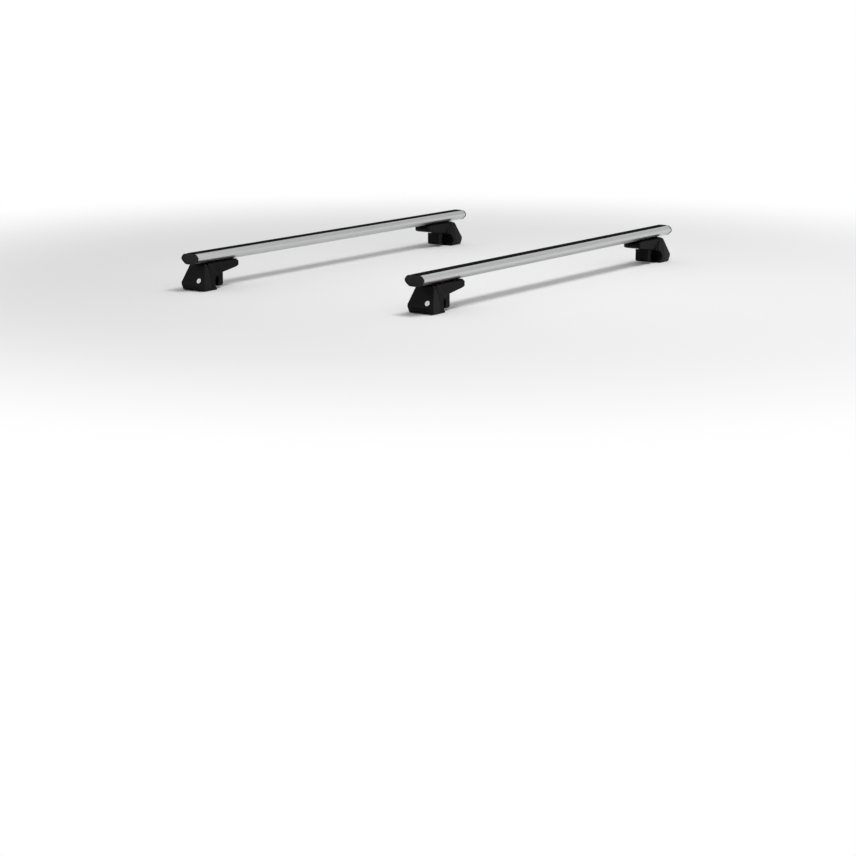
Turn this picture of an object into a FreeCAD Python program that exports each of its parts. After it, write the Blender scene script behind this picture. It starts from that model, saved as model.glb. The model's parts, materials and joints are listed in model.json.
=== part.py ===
import FreeCAD, Part
import os
import re
import Sketcher

# Pair of roof crossbars on four rail feet, in millimetres.
# +X runs along the bars, -Y is the side of the front bar, +Z is up, the feet stand on z = 0.
# Each foot is drawn in its own frame: x inward along the bar from the top of its outer face,
# y across the bar, z up from the foot's lowest face.

SIZES = [
    ("bar_length", 1264, "extrusion without its end caps"),
    ("bar_width", 56, "extrusion, front to back"),
    ("bar_height", 27, "extrusion, underside to top"),
    ("bar_top_width", 40, "top face before its edges are rounded"),
    ("bar_seat_width", 30, "underside before its edges are rounded"),
    ("bar_spacing", 712, "centre to centre of the two bars"),
    ("bar_wall", 2.2, "inner walls of the extrusion"),
    ("bar_skin", 2.4, "outer wall of the extrusion"),
    ("nose_low", 12, "lower end of the upright nose face"),
    ("nose_high", 18, "upper end of the upright nose face"),
    ("nose_radius", 6.5, "rounding of the nose"),
    ("shoulder_radius", 10, "rounding beside the top face"),
    ("belly_radius", 13, "rounding beside the underside"),
    ("slot_opening", 12, "gap of the top slot"),
    ("slot_lip", 2.6, "lips of the top slot"),
    ("slot_width", 22, "inside width of the top slot"),
    ("slot_depth", 6.5, "inside depth of the top slot"),
    ("channel_opening", 10, "gap of the lower channel"),
    ("channel_lip", 2.6, "lips of the lower channel"),
    ("channel_width", 18, "inside width of the lower channel"),
    ("channel_depth", 5.5, "inside depth of the lower channel"),
    ("strip_width", 25, "rubber strip on top of the bar"),
    ("strip_rise", 2, "height of the strip above the bar"),
    ("strip_root_width", 17, "barb of the strip in the slot"),
    ("strip_root_depth", 2.4, "height of that barb"),
    ("strip_edge", 1.4, "rounding of the strip's upper edges"),
    ("cap_thickness", 3, "flange of an end cap"),
    ("cap_overhang", 0.6, "flange beyond the extrusion"),
    ("cap_rim", 4.5, "rim around the dish of an end cap"),
    ("cap_dish", 1.4, "depth of that dish"),
    ("cap_edge", 1, "rounding of the flange"),
    ("cap_plug", 14, "length of the plugs in the hollows"),
    ("slide_clearance", 0.3, "gap around parts that slide or push in"),
    ("foot_height", 71, "rail foot, floor to underside of the bar"),
    ("front_right_inset", 46, "bar end to foot, front bar, right"),
    ("front_left_inset", 46, "bar end to foot, front bar, left"),
    ("rear_right_inset", 30, "bar end to foot, rear bar, right"),
    ("rear_left_inset", 58, "bar end to foot, rear bar, left"),
    ("bar_pad_thickness", 2, "gasket under the bar"),
    ("bar_pad_width", 48, "gasket across the bar"),
    ("rail_radius", 16, "rail that the foot grips"),
    ("rail_drop", 36, "underside of the bar to top of the rail"),
    ("rail_reach", 45, "rail centre from the foot's outer face"),
    ("rail_pad_thickness", 2.5, "rubber in the rail seat and on the claw"),
    ("rail_pad_width", 50, "rubber in the rail seat, along the rail"),
    ("rail_pad_start", 84, "inner end of that rubber, degrees"),
    ("rail_pad_end", 232, "lip end of that rubber, degrees"),
    ("leg_top_width", 52, "foot at its top, along the rail"),
    ("leg_wide_width", 78, "foot at its widest"),
    ("leg_wide_height", 19, "height of the widest line"),
    ("leg_base_width", 72, "foot at the floor"),
    ("lip_reach", 35.5, "tip of the lip under the rail"),
    ("beam_tip", 149, "inner end of the beam"),
    ("beam_width", 52, "beam under the bar"),
    ("beam_depth", 20, "beam top to its underside at the inner end"),
    ("beam_flat", 134, "where the top of the beam starts to slope down"),
    ("brow_run", 5.5, "end of that slope, from the tip"),
    ("brow_drop", 4, "end of that slope, below the top"),
    ("nose_drop", 9, "foremost line of the tip, below the top"),
    ("chin_run", 6, "lower edge of the tip, from the tip"),
    ("chin_drop", 16, "lower edge of the tip, below the top"),
    ("beam_low_end", 128, "inner end of the beam's underside"),
    ("beam_corner", 10, "corner cut of the inner end, seen from above"),
    ("arch_cut", 0.7, "underside of the body below the top of the rail seat"),
    ("house_end", 48, "inner end of the wide part over the rail"),
    ("house_top", 28, "inner end of that part at its top"),
    ("tunnel_start", 62, "outer end of the claw's tunnel"),
    ("tunnel_width", 24, "tunnel, across"),
    ("tunnel_neck", 17, "slot under the tunnel, across"),
    ("tunnel_depth", 8.5, "wide part of the tunnel, height"),
    ("lips_end", 112, "inner end of the lips under the tunnel"),
    ("keyhole_end", 136, "inner end of the opening where the claw goes in"),
    ("tunnel_roof", 6, "body above the tunnel"),
    ("bolt_height", 54, "tension bolt above the floor"),
    ("bolt_radius", 3, "tension bolt shank"),
    ("bolt_end", 96, "end of the shank"),
    ("bolt_head_radius", 5, "head of the tension bolt"),
    ("bolt_head_height", 6, "height of that head"),
    ("bolt_flange_radius", 7, "flange of the tension bolt"),
    ("bolt_flange", 1.8, "thickness of the flange"),
    ("bolt_socket", 5, "hexagon socket across flats"),
    ("bolt_socket_depth", 4, "depth of the socket"),
    ("bolt_play", 0.4, "gap around the shank in foot and claw"),
    ("running_play", 0.05, "gap around turning pins and the lock"),
    ("nut_width", 10, "square nut across flats"),
    ("nut_length", 5, "square nut along the bolt"),
    ("nut_play", 0.15, "gap around the nut"),
    ("claw_width", 40, "claw along the rail"),
    ("claw_back", 80, "inner face of the claw"),
    ("claw_foot", 6, "lowest face of the claw"),
    ("claw_chamfer", 7, "chamfer of its lower inner edge"),
    ("claw_play", 0.5, "gap between claw and beam"),
    ("claw_brow", 59, "upper outer edge of the claw"),
    ("claw_start", 65, "outer end of the claw's block"),
    ("claw_end", 88, "inner end of the claw's block"),
    ("claw_pad_width", 38, "rubber on the claw"),
    ("claw_pad_low", -36, "lower end of that rubber, degrees"),
    ("claw_pad_high", 32, "upper end of that rubber, degrees"),
    ("hinge_inset", 5, "cover hinge from the foot's outer face"),
    ("hinge_drop", 7, "cover hinge below the gasket"),
    ("hinge_pin_radius", 1.75, "hinge pin"),
    ("hinge_pin_length", 50, "hinge pin along the rail"),
    ("knuckle_radius", 6.5, "outside of the cover around the hinge"),
    ("lug_radius", 3.8, "lugs of the foot around the pin"),
    ("lug_inner", 9, "lugs from the middle plane, near face"),
    ("lug_outer", 16, "lugs from the middle plane, far face"),
    ("cover_opening", 60, "how far the cover opens, degrees"),
    ("seam_gap", 0.5, "seam between cover and foot"),
    ("skin", 2.3, "wall of the cover's outer face"),
    ("cover_side", 2.6, "side walls of the cover"),
    ("cover_foot", 1.5, "cover's lower edge above the floor"),
    ("cover_tuck", 6, "lower face of the cover, how far it runs in"),
    ("face_slope", 26, "slope of the outer face, degrees"),
    ("lock_side", -20, "lock from the foot's middle plane"),
    ("lock_height", 28, "lock centre above the floor"),
    ("lock_radius", 6.8, "lock plug"),
    ("lock_length", 27, "lock plug, face to tongue"),
    ("lock_slot", 7, "key slot, its length"),
    ("lock_slot_width", 1.8, "key slot, its width"),
    ("lock_slot_depth", 5, "key slot, its depth"),
    ("boss_radius", 8.6, "sleeve of the cover around the lock"),
    ("boss_length", 20, "length of that sleeve"),
    ("tongue_reach", 11, "lock tongue from the lock's axis"),
    ("tongue_width", 7, "lock tongue across"),
    ("tongue_thickness", 3, "lock tongue along the axis"),
    ("recess_depth", 6, "recess of the foot for the tongue"),
    ("recess_play", 1, "gap around the tongue in that recess"),
    ("key_start", 16, "slide key, outer end"),
    ("key_end", 120, "slide key, inner end"),
    ("screw_outer", 26, "outer screw of the slide key"),
    ("screw_inner", 54, "inner screw of the slide key"),
    ("screw_radius", 3, "shank of those screws"),
    ("screw_head_radius", 5.5, "head of those screws"),
    ("screw_head", 3, "height of the head"),
    ("screw_depth", 9, "screw in the foot"),
    ("screw_play", 0.05, "gap around the screws"),
]

doc = FreeCAD.newDocument("roof_crossbars")
sheet = doc.addObject("Spreadsheet::Sheet", "Sizes")
for row, (alias, number, meaning) in enumerate(SIZES, 1):
    sheet.set(f"A{row}", alias)
    sheet.set(f"B{row}", str(number))
    sheet.set(f"C{row}", meaning)
    sheet.setAlias(f"B{row}", alias)
doc.recompute()

ALIAS = re.compile(r"\b(" + "|".join(alias for alias, number, meaning in SIZES) + r")\b")

# Heights and places that follow from the sizes, as formulas.
BODY_TOP = "(foot_height - bar_pad_thickness)"
BEAM_LOW = f"({BODY_TOP} - beam_depth)"
RAIL_Z = "(foot_height - rail_drop - rail_radius)"
SEAT_RADIUS = "(rail_radius + rail_pad_thickness)"
TUNNEL_HIGH = f"({BODY_TOP} - tunnel_roof)"
TUNNEL_LOW = f"({TUNNEL_HIGH} - tunnel_depth)"
HINGE_Z = f"({BODY_TOP} - hinge_drop)"
SEAM = "(hinge_inset + knuckle_radius)"
WALL = f"({SEAM} + seam_gap)"
INNER_KNUCKLE = "(knuckle_radius - skin)"
KEY_LOW = "(foot_height + channel_lip + slide_clearance)"
KEY_TOP = "(foot_height + channel_lip + channel_depth - slide_clearance)"
TONGUE_Z = "(lock_height - lock_length*sin(face_slope))"
LUG_ARM = "((90 - cover_opening)/2)"

# Cuts reach this far past the solid that they cut.
PAST = "1"


def face_x(height, radius="knuckle_radius"):
    """Outer face of the cover at a height; a smaller radius gives its inside."""
    return f"(hinge_inset - {radius}/cos(face_slope) - ({HINGE_Z} - {height})*tan(face_slope))"


def under(place):
    """Underside of the beam at a place along it."""
    start = f"({RAIL_Z} + {SEAT_RADIUS} - arch_cut)"
    return f"({start} + ({place} - rail_reach)*({BEAM_LOW} - {start})/(beam_low_end - rail_reach))"


WIDE_X = face_x("leg_wide_height")
BASE_X = f"({WIDE_X} + cover_tuck)"
INNER_WIDE_X = face_x("leg_wide_height", INNER_KNUCKLE)
INNER_BASE_X = f"({INNER_WIDE_X} + cover_tuck)"


def bound(formula):
    """The formula as an expression that reads the sheet."""
    return ALIAS.sub(r"Sizes.\1", str(formula))


def value(formula):
    """The number that a formula has now."""
    return float(sheet.evalExpression(str(formula)))


def near(first, second):
    return abs(first - second) < 0.02


def new_body(name):
    return doc.addObject("PartDesign::Body", name)


def new_sketch(body, name, plane, offset=None):
    """A sketch on one of the body's own planes, moved along the plane's normal."""
    sketch = body.newObject("Sketcher::SketchObject", name)
    support = [part for part in body.Origin.OriginFeatures if part.Role == plane + "_Plane"][0]
    sketch.AttachmentSupport = [(support, "")]
    sketch.MapMode = "FlatFace"
    if offset is not None:
        sketch.setExpression("AttachmentOffset.Base.z", bound(offset))
    return sketch


def fix_point(sketch, geometry, position, corner):
    """Tie a point of the sketch to two formulas."""
    for kind, formula in zip(("DistanceX", "DistanceY"), corner):
        constraint = Sketcher.Constraint(kind, -1, 1, geometry, position, value(formula))
        index = sketch.addConstraint(constraint)
        sketch.setExpression(f"Constraints[{index}]", bound(formula))


def add_loop(sketch, corners, arcs=None):
    """A closed loop of edges; arcs maps an edge to the centre it bends around and its turn."""
    arcs = arcs or {}
    points = [FreeCAD.Vector(value(x), value(y), 0) for x, y in corners]
    count = len(points)
    first = sketch.GeometryCount
    ends = []
    for i in range(count):
        start = points[i]
        finish = points[(i + 1) % count]
        if i not in arcs:
            sketch.addGeometry(Part.LineSegment(start, finish), False)
            ends.append((1, 2))
            continue
        centre_x, centre_y, turn = arcs[i]
        centre = FreeCAD.Vector(value(centre_x), value(centre_y), 0)
        low, high = (start, finish) if turn == "left" else (finish, start)
        circle = Part.Circle(centre, FreeCAD.Vector(0, 0, 1), (start - centre).Length)
        sketch.addGeometry(Part.ArcOfCircle(circle, circle.parameter(low), circle.parameter(high)), False)
        ends.append((1, 2) if turn == "left" else (2, 1))
    for i in range(count):
        following = (i + 1) % count
        sketch.addConstraint(Sketcher.Constraint(
            "Coincident", first + i, ends[i][1], first + following, ends[following][0]))
        fix_point(sketch, first + i, ends[i][0], corners[i])
        if i in arcs:
            centre_x, centre_y, turn = arcs[i]
            chord = points[following] - points[i]
            upright = abs(chord.y) > abs(chord.x)
            kind, formula = ("DistanceX", centre_x) if upright else ("DistanceY", centre_y)
            index = sketch.addConstraint(Sketcher.Constraint(kind, -1, 1, first + i, 3, value(formula)))
            sketch.setExpression(f"Constraints[{index}]", bound(formula))


def add_circle(sketch, x, y, radius):
    centre = FreeCAD.Vector(value(x), value(y), 0)
    circle = Part.Circle(centre, FreeCAD.Vector(0, 0, 1), value(radius))
    index = sketch.addGeometry(circle, False)
    fix_point(sketch, index, 3, (x, y))
    constraint = sketch.addConstraint(Sketcher.Constraint("Radius", index, value(radius)))
    sketch.setExpression(f"Constraints[{constraint}]", bound(radius))


def rectangle(x_low, x_high, y_low, y_high):
    return [(x_low, y_low), (x_high, y_low), (x_high, y_high), (x_low, y_high)]


def extrude(kind, sketch, length=None, side="One side", backward=False):
    """Pad or pocket of a sketch; without a length it goes through everything."""
    body = sketch.getParentGeoFeatureGroup()
    feature = body.newObject("PartDesign::" + kind, sketch.Name + kind)
    feature.Profile = sketch
    feature.SideType = side
    feature.Reversed = backward
    if length is None:
        feature.Type = "ThroughAll"
    else:
        feature.setExpression("Length", bound(length))
    sketch.Visibility = False
    return feature


def round_edges(body, radius, chosen):
    """Round the edges of the body's last feature that the test picks."""
    doc.recompute()
    base = body.Tip
    names = [f"Edge{i}" for i, edge in enumerate(base.Shape.Edges, 1) if chosen(edge)]
    feature = body.newObject("PartDesign::Fillet", body.Name + "Round")
    feature.Base = (base, names)
    feature.setExpression("Radius", bound(radius))
    return feature


def along(edge, axis):
    """True for a straight edge that runs along the axis."""
    if edge.Curve.TypeId != "Part::GeomLine":
        return False
    return abs(abs(edge.Curve.Direction.dot(axis)) - 1) < 1e-4


X_AXIS = FreeCAD.Vector(1, 0, 0)
Y_AXIS = FreeCAD.Vector(0, 1, 0)
Z_AXIS = FreeCAD.Vector(0, 0, 1)


# The bar in its own frame: z = 0 at its underside, y = 0 at its middle, x = 0 half way along.

def bar_outline(grow="0"):
    """Corners of the section, from the front of the top face round to the back."""
    right = [
        (f"bar_top_width/2 + {grow}/2", f"bar_height + {grow}"),
        (f"bar_width/2 + {grow}", "nose_high"),
        (f"bar_width/2 + {grow}", "nose_low"),
        (f"bar_seat_width/2 + {grow}/2", f"-{grow}"),
    ]
    left = [(f"-({y})", z) for y, z in reversed(right)]
    return right + left


def hollow_outline(side, gap="0"):
    """One of the two side hollows of the section, made smaller by a gap."""
    corners = [
        (f"slot_width/2 + bar_wall + {gap}", f"bar_height - bar_skin - {gap}"),
        (f"bar_top_width/2 - bar_skin/2 - {gap}", f"bar_height - bar_skin - {gap}"),
        (f"bar_width/2 - bar_skin - {gap}", "nose_high - bar_skin/3"),
        (f"bar_width/2 - bar_skin - {gap}", "nose_low + bar_skin/3"),
        (f"bar_seat_width/2 - bar_skin/3 - {gap}/2", f"bar_skin + {gap}"),
        (f"channel_width/2 + bar_wall + {gap}", f"bar_skin + {gap}"),
        (f"channel_width/2 + bar_wall + {gap}", f"channel_lip + channel_depth + bar_wall - {gap}"),
        (f"slot_width/2 + bar_wall + {gap}", "channel_lip + channel_depth + 2*bar_wall"),
    ]
    return [(f"{side}({y})", z) for y, z in corners]


def round_bar(body, grow="0"):
    """Round the long edges of a section pad, each pair with its own radius."""
    corner_radii = (("nose_radius", 1), ("nose_radius", 2), ("shoulder_radius", 0), ("belly_radius", 3))
    for radius, corner in corner_radii:
        y, z = (value(formula) for formula in bar_outline(grow)[corner])
        round_edges(body, radius, lambda edge: along(edge, X_AXIS) and near(
            abs(edge.Vertexes[0].Point.y), y) and near(edge.Vertexes[0].Point.z, z))


def bar_extrusion(name):
    body = new_body(name)
    section = new_sketch(body, name + "Section", "YZ")
    add_loop(section, bar_outline())
    extrude("Pad", section, "bar_length", "Symmetric")
    round_bar(body)
    hollows = new_sketch(body, name + "Hollows", "YZ")
    slot_low = "bar_height - slot_lip - slot_depth"
    add_loop(hollows, [
        ("-slot_opening/2", "bar_height + slot_lip"), ("-slot_opening/2", "bar_height - slot_lip"),
        ("-slot_width/2", "bar_height - slot_lip"), ("-slot_width/2", slot_low),
        ("slot_width/2", slot_low), ("slot_width/2", "bar_height - slot_lip"),
        ("slot_opening/2", "bar_height - slot_lip"), ("slot_opening/2", "bar_height + slot_lip")])
    channel_high = "channel_lip + channel_depth"
    add_loop(hollows, [
        ("-channel_opening/2", "-channel_lip"), ("-channel_opening/2", "channel_lip"),
        ("-channel_width/2", "channel_lip"), ("-channel_width/2", channel_high),
        ("channel_width/2", channel_high), ("channel_width/2", "channel_lip"),
        ("channel_opening/2", "channel_lip"), ("channel_opening/2", "-channel_lip")])
    add_loop(hollows, rectangle("-channel_width/2", "channel_width/2",
                                f"{channel_high} + bar_wall", f"{slot_low} - bar_wall"))
    for side in ("", "-"):
        add_loop(hollows, hollow_outline(side))
    extrude("Pocket", hollows, None, "Symmetric")
    return body


def bar_top_strip(name):
    body = new_body(name)
    section = new_sketch(body, name + "Section", "YZ")
    neck = "slot_opening/2 - slide_clearance"
    shelf = "bar_height - slot_lip - slide_clearance"
    right = [
        ("strip_width/2", "bar_height + strip_rise"), ("strip_width/2", "bar_height"),
        (neck, "bar_height"), (neck, shelf), ("strip_root_width/2", shelf),
        (neck, f"{shelf} - strip_root_depth")]
    left = [(f"-({y})", z) for y, z in reversed(right)]
    add_loop(section, right + left)
    extrude("Pad", section, "bar_length", "Symmetric")
    top = value("bar_height + strip_rise")
    round_edges(body, "strip_edge", lambda edge: along(edge, X_AXIS) and near(edge.Vertexes[0].Point.z, top))
    return body


def bar_cap(name):
    """End cap for the -X end: flange outside, two plugs in the side hollows."""
    body = new_body(name)
    inner = "-bar_length/2"
    outer = f"{inner} - cap_thickness"
    flange = new_sketch(body, name + "Flange", "YZ", outer)
    add_loop(flange, bar_outline("cap_overhang"))
    extrude("Pad", flange, "cap_thickness")
    round_bar(body, "cap_overhang")
    face = value(outer)
    round_edges(body, "cap_edge", lambda edge: all(near(v.Point.x, face) for v in edge.Vertexes))
    dish = new_sketch(body, name + "Dish", "YZ", outer)
    corners = [
        ("bar_top_width/2 - cap_rim/2", "bar_height - cap_rim"),
        ("bar_width/2 - cap_rim", "nose_high - cap_rim/4"),
        ("bar_width/2 - cap_rim", "nose_low + cap_rim/4"),
        ("bar_seat_width/2 - cap_rim/2", "cap_rim")]
    add_loop(dish, corners + [(f"-({y})", z) for y, z in reversed(corners)])
    extrude("Pocket", dish, "cap_dish", backward=True)
    plugs = new_sketch(body, name + "Plugs", "YZ", inner)
    for side in ("", "-"):
        add_loop(plugs, hollow_outline(side, "slide_clearance"))
    extrude("Pad", plugs, "cap_plug")
    return body


# The pieces of a foot, each drawn in the foot's frame.

def leg_outline(low="0"):
    """Leg seen along the bar: narrow at the top, widest low down."""
    right = [
        ("leg_top_width/2", BODY_TOP), ("leg_wide_width/2", "leg_wide_height"), ("leg_base_width/2", low)]
    return right + [(f"-{y}", z) for y, z in reversed(right)]


def foot_body(name):
    body = new_body(name)
    leg = new_sketch(body, name + "Leg", "YZ", WALL)
    add_loop(leg, leg_outline())
    extrude("Pad", leg, f"house_end - {WALL}")
    flank = new_sketch(body, name + "Flank", "XZ")
    past_end = f"(house_end + {PAST})"
    past_top = f"({BODY_TOP} + {PAST})"
    arch = under("rail_reach")
    add_loop(flank, [
        ("house_top", BODY_TOP), ("house_top", past_top), (past_end, past_top), (past_end, arch),
        ("house_end", arch)])
    extrude("Pocket", flank, None, "Symmetric")
    beam = new_sketch(body, name + "Beam", "XZ")
    add_loop(beam, [
        (WALL, BODY_TOP), ("beam_flat", BODY_TOP), ("beam_tip - brow_run", f"{BODY_TOP} - brow_drop"),
        ("beam_tip", f"{BODY_TOP} - nose_drop"), ("beam_tip - chin_run", f"{BODY_TOP} - chin_drop"),
        ("beam_low_end", BEAM_LOW), (WALL, under(WALL))])
    extrude("Pad", beam, "beam_width", "Symmetric")
    corners = new_sketch(body, name + "Corners", "XY")
    beyond = f"beam_tip + {PAST}"
    for side in ("", "-"):
        outside = f"{side}(beam_width/2 + {PAST})"
        inside = f"{side}(beam_width/2 - beam_corner)"
        add_loop(corners, [
            ("beam_tip - beam_corner", f"{side}beam_width/2"), ("beam_tip", inside), (beyond, inside),
            (beyond, outside), ("beam_tip - beam_corner", outside)])
    extrude("Pocket", corners, None, "Symmetric")
    seat = new_sketch(body, name + "Seat", "XZ")
    add_circle(seat, "rail_reach", RAIL_Z, SEAT_RADIUS)
    extrude("Pocket", seat, None, "Symmetric")
    gap = new_sketch(body, name + "Gap", "XZ")
    add_loop(gap, [
        ("lip_reach", f"-{PAST}"), (past_end, f"-{PAST}"), (past_end, under(past_end)),
        ("rail_reach", under("rail_reach")), ("rail_reach", RAIL_Z), ("lip_reach", RAIL_Z)])
    extrude("Pocket", gap, None, "Symmetric")
    tunnel = new_sketch(body, name + "Tunnel", "YZ", "tunnel_start")
    add_loop(tunnel, [
        ("-tunnel_width/2", TUNNEL_HIGH), ("-tunnel_width/2", TUNNEL_LOW),
        ("-tunnel_neck/2", TUNNEL_LOW), ("-tunnel_neck/2", RAIL_Z), ("tunnel_neck/2", RAIL_Z),
        ("tunnel_neck/2", TUNNEL_LOW), ("tunnel_width/2", TUNNEL_LOW), ("tunnel_width/2", TUNNEL_HIGH)])
    extrude("Pocket", tunnel, "lips_end - tunnel_start", backward=True)
    keyhole = new_sketch(body, name + "Keyhole", "YZ", "lips_end")
    add_loop(keyhole, rectangle("-tunnel_width/2", "tunnel_width/2", RAIL_Z, TUNNEL_HIGH))
    extrude("Pocket", keyhole, "keyhole_end - lips_end", backward=True)
    bore = new_sketch(body, name + "Bore", "YZ", WALL)
    add_circle(bore, "0", "bolt_height", "bolt_radius + bolt_play")
    extrude("Pocket", bore, f"tunnel_start - {WALL} + {PAST}", backward=True)
    recess = new_sketch(body, name + "Recess", "YZ", WALL)
    room = "(tongue_reach + recess_play)"
    add_loop(recess, rectangle(
        f"lock_side - {room}", f"lock_side + {room}", f"{TONGUE_Z} - {room}", f"{TONGUE_Z} + {room}"))
    extrude("Pocket", recess, "recess_depth", backward=True)
    screws = new_sketch(body, name + "Screws", "XY", BODY_TOP)
    for place in ("screw_outer", "screw_inner"):
        add_circle(screws, place, "0", "screw_radius + screw_play")
    extrude("Pocket", screws, "screw_depth + slide_clearance")
    arm_top = f"{HINGE_Z} + lug_radius*sin({LUG_ARM})"
    for number, offset in enumerate(("lug_inner", "-lug_outer")):
        lug = new_sketch(body, f"{name}Lug{number}", "XZ", offset)
        add_loop(lug, [
            (WALL, f"{HINGE_Z} - lug_radius"), ("hinge_inset", f"{HINGE_Z} - lug_radius"),
            (f"hinge_inset + lug_radius*cos({LUG_ARM})", arm_top), (WALL, arm_top)],
            {1: ("hinge_inset", HINGE_Z, "right")})
        extrude("Pad", lug, "lug_outer - lug_inner")
    pin = new_sketch(body, name + "Pin", "XZ")
    add_circle(pin, "hinge_inset", HINGE_Z, "hinge_pin_radius + running_play")
    extrude("Pocket", pin, "hinge_pin_length", "Symmetric")
    return body


def tilted_sketch(body, name, depth):
    """A sketch square to the cover's outer face, centred on the lock, at a depth below the face."""
    sketch = new_sketch(body, name, "YZ", f"{face_x('lock_height')} + ({depth})*cos(face_slope)")
    sketch.setExpression("AttachmentOffset.Base.x", bound("lock_side"))
    sketch.setExpression("AttachmentOffset.Base.y", bound(f"lock_height - ({depth})*sin(face_slope)"))
    sketch.AttachmentOffset = FreeCAD.Placement(
        sketch.AttachmentOffset.Base, FreeCAD.Rotation(X_AXIS, value("face_slope")))
    sketch.setExpression("AttachmentOffset.Rotation.Angle", bound("face_slope * 1 deg"))
    return sketch


def lock_cover(name):
    body = new_body(name)
    hinge = ("hinge_inset", HINGE_Z)
    tangent = ("hinge_inset - {0}*cos(face_slope)", HINGE_Z + " + {0}*sin(face_slope)")
    outer_tangent = tuple(part.format("knuckle_radius") for part in tangent)
    inner_tangent = tuple(part.format(INNER_KNUCKLE) for part in tangent)
    outer_top = ("hinge_inset", f"{HINGE_Z} + knuckle_radius")
    skin = new_sketch(body, name + "Skin", "XZ")
    add_loop(skin, [
        (SEAM, "cover_foot"), (BASE_X, "cover_foot"), (WIDE_X, "leg_wide_height"), outer_tangent, outer_top,
        ("hinge_inset", f"{HINGE_Z} + {INNER_KNUCKLE}"), inner_tangent, (INNER_WIDE_X, "leg_wide_height"),
        (INNER_BASE_X, "cover_foot + skin"), (SEAM, "cover_foot + skin")],
        {3: hinge + ("right",), 5: hinge + ("left",)})
    extrude("Pad", skin, "leg_wide_width", "Symmetric")
    start = f"({WIDE_X} - {PAST})"
    sides = new_sketch(body, name + "Sides", "YZ", start)
    outer = leg_outline("cover_foot")[:3]
    for side in ("", "-"):
        inner = [(f"({y} - cover_side)", z) for y, z in reversed(outer)]
        add_loop(sides, [(f"{side}{y}", z) for y, z in outer + inner])
    extrude("Pad", sides, f"{SEAM} - {start}")
    outside = new_sketch(body, name + "Outside", "XZ")
    left = f"{start} - {PAST}"
    right = f"{SEAM} + {PAST}"
    high = f"{BODY_TOP} + {PAST}"
    add_loop(outside, [
        (left, f"-{PAST}"), (BASE_X, f"-{PAST}"), (BASE_X, "cover_foot"), (WIDE_X, "leg_wide_height"),
        outer_tangent, outer_top, (SEAM, HINGE_Z), (right, HINGE_Z), (right, high), (left, high)],
        {4: hinge + ("right",), 5: hinge + ("right",)})
    extrude("Pocket", outside, None, "Symmetric")
    wedges = new_sketch(body, name + "Wedges", "YZ")
    beyond = f"leg_wide_width/2 + {PAST}"
    for side in ("", "-"):
        corners = [("leg_top_width/2", high)] + leg_outline("cover_foot")[:3]
        corners += [("leg_base_width/2", f"-{PAST}"), (beyond, f"-{PAST}"), (beyond, high)]
        add_loop(wedges, [(f"{side}({y})", z) for y, z in corners])
    extrude("Pocket", wedges, None, "Symmetric")
    sleeve = tilted_sketch(body, name + "Sleeve", "skin/2")
    add_circle(sleeve, "0", "0", "boss_radius")
    extrude("Pad", sleeve, "boss_length")
    hole = tilted_sketch(body, name + "Hole", "skin/2")
    add_circle(hole, "0", "0", "lock_radius + running_play")
    extrude("Pocket", hole, None, "Symmetric")
    pin = new_sketch(body, name + "Pin", "XZ")
    add_circle(pin, "hinge_inset", HINGE_Z, "hinge_pin_radius + running_play")
    extrude("Pocket", pin, None, "Symmetric")
    return body


def hinge_pin(name):
    pin = doc.addObject("Part::Cylinder", name)
    pin.setExpression("Radius", bound("hinge_pin_radius"))
    pin.setExpression("Height", bound("hinge_pin_length"))
    return pin


def lock_plug(name):
    """Drawn along its own axis: z = 0 at the face, z down into the cover."""
    body = new_body(name)
    plug = new_sketch(body, name + "Plug", "XY")
    add_circle(plug, "0", "0", "lock_radius")
    extrude("Pad", plug, "lock_length", backward=True)
    tongue = new_sketch(body, name + "Tongue", "XY", "-lock_length")
    add_loop(tongue, rectangle("-tongue_width/2", "tongue_reach", "-tongue_width/2", "tongue_width/2"))
    extrude("Pad", tongue, "tongue_thickness", backward=True)
    slot = new_sketch(body, name + "Slot", "XY")
    add_loop(slot, rectangle("-lock_slot/2", "lock_slot/2", "-lock_slot_width/2", "lock_slot_width/2"))
    extrude("Pocket", slot, "lock_slot_depth")
    return body


def tension_bolt(name):
    body = new_body(name)
    flange_face = f"({WALL} - bolt_flange)"
    head_face = f"({flange_face} - bolt_head_height)"
    shank = new_sketch(body, name + "Shank", "YZ", flange_face)
    add_circle(shank, "0", "bolt_height", "bolt_radius")
    extrude("Pad", shank, f"bolt_end - {flange_face}")
    flange = new_sketch(body, name + "Flange", "YZ", flange_face)
    add_circle(flange, "0", "bolt_height", "bolt_flange_radius")
    extrude("Pad", flange, "bolt_flange")
    head = new_sketch(body, name + "Head", "YZ", head_face)
    add_circle(head, "0", "bolt_height", "bolt_head_radius")
    extrude("Pad", head, "bolt_head_height")
    socket = new_sketch(body, name + "Socket", "YZ", head_face)
    corner = "bolt_socket/2/cos(30)"
    add_loop(socket, [
        (f"{corner}*cos({turn})", f"bolt_height + {corner}*sin({turn})") for turn in range(0, 360, 60)])
    extrude("Pocket", socket, "bolt_socket_depth", backward=True)
    return body


NUT_START = "((claw_start + claw_back - nut_length)/2)"


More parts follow.
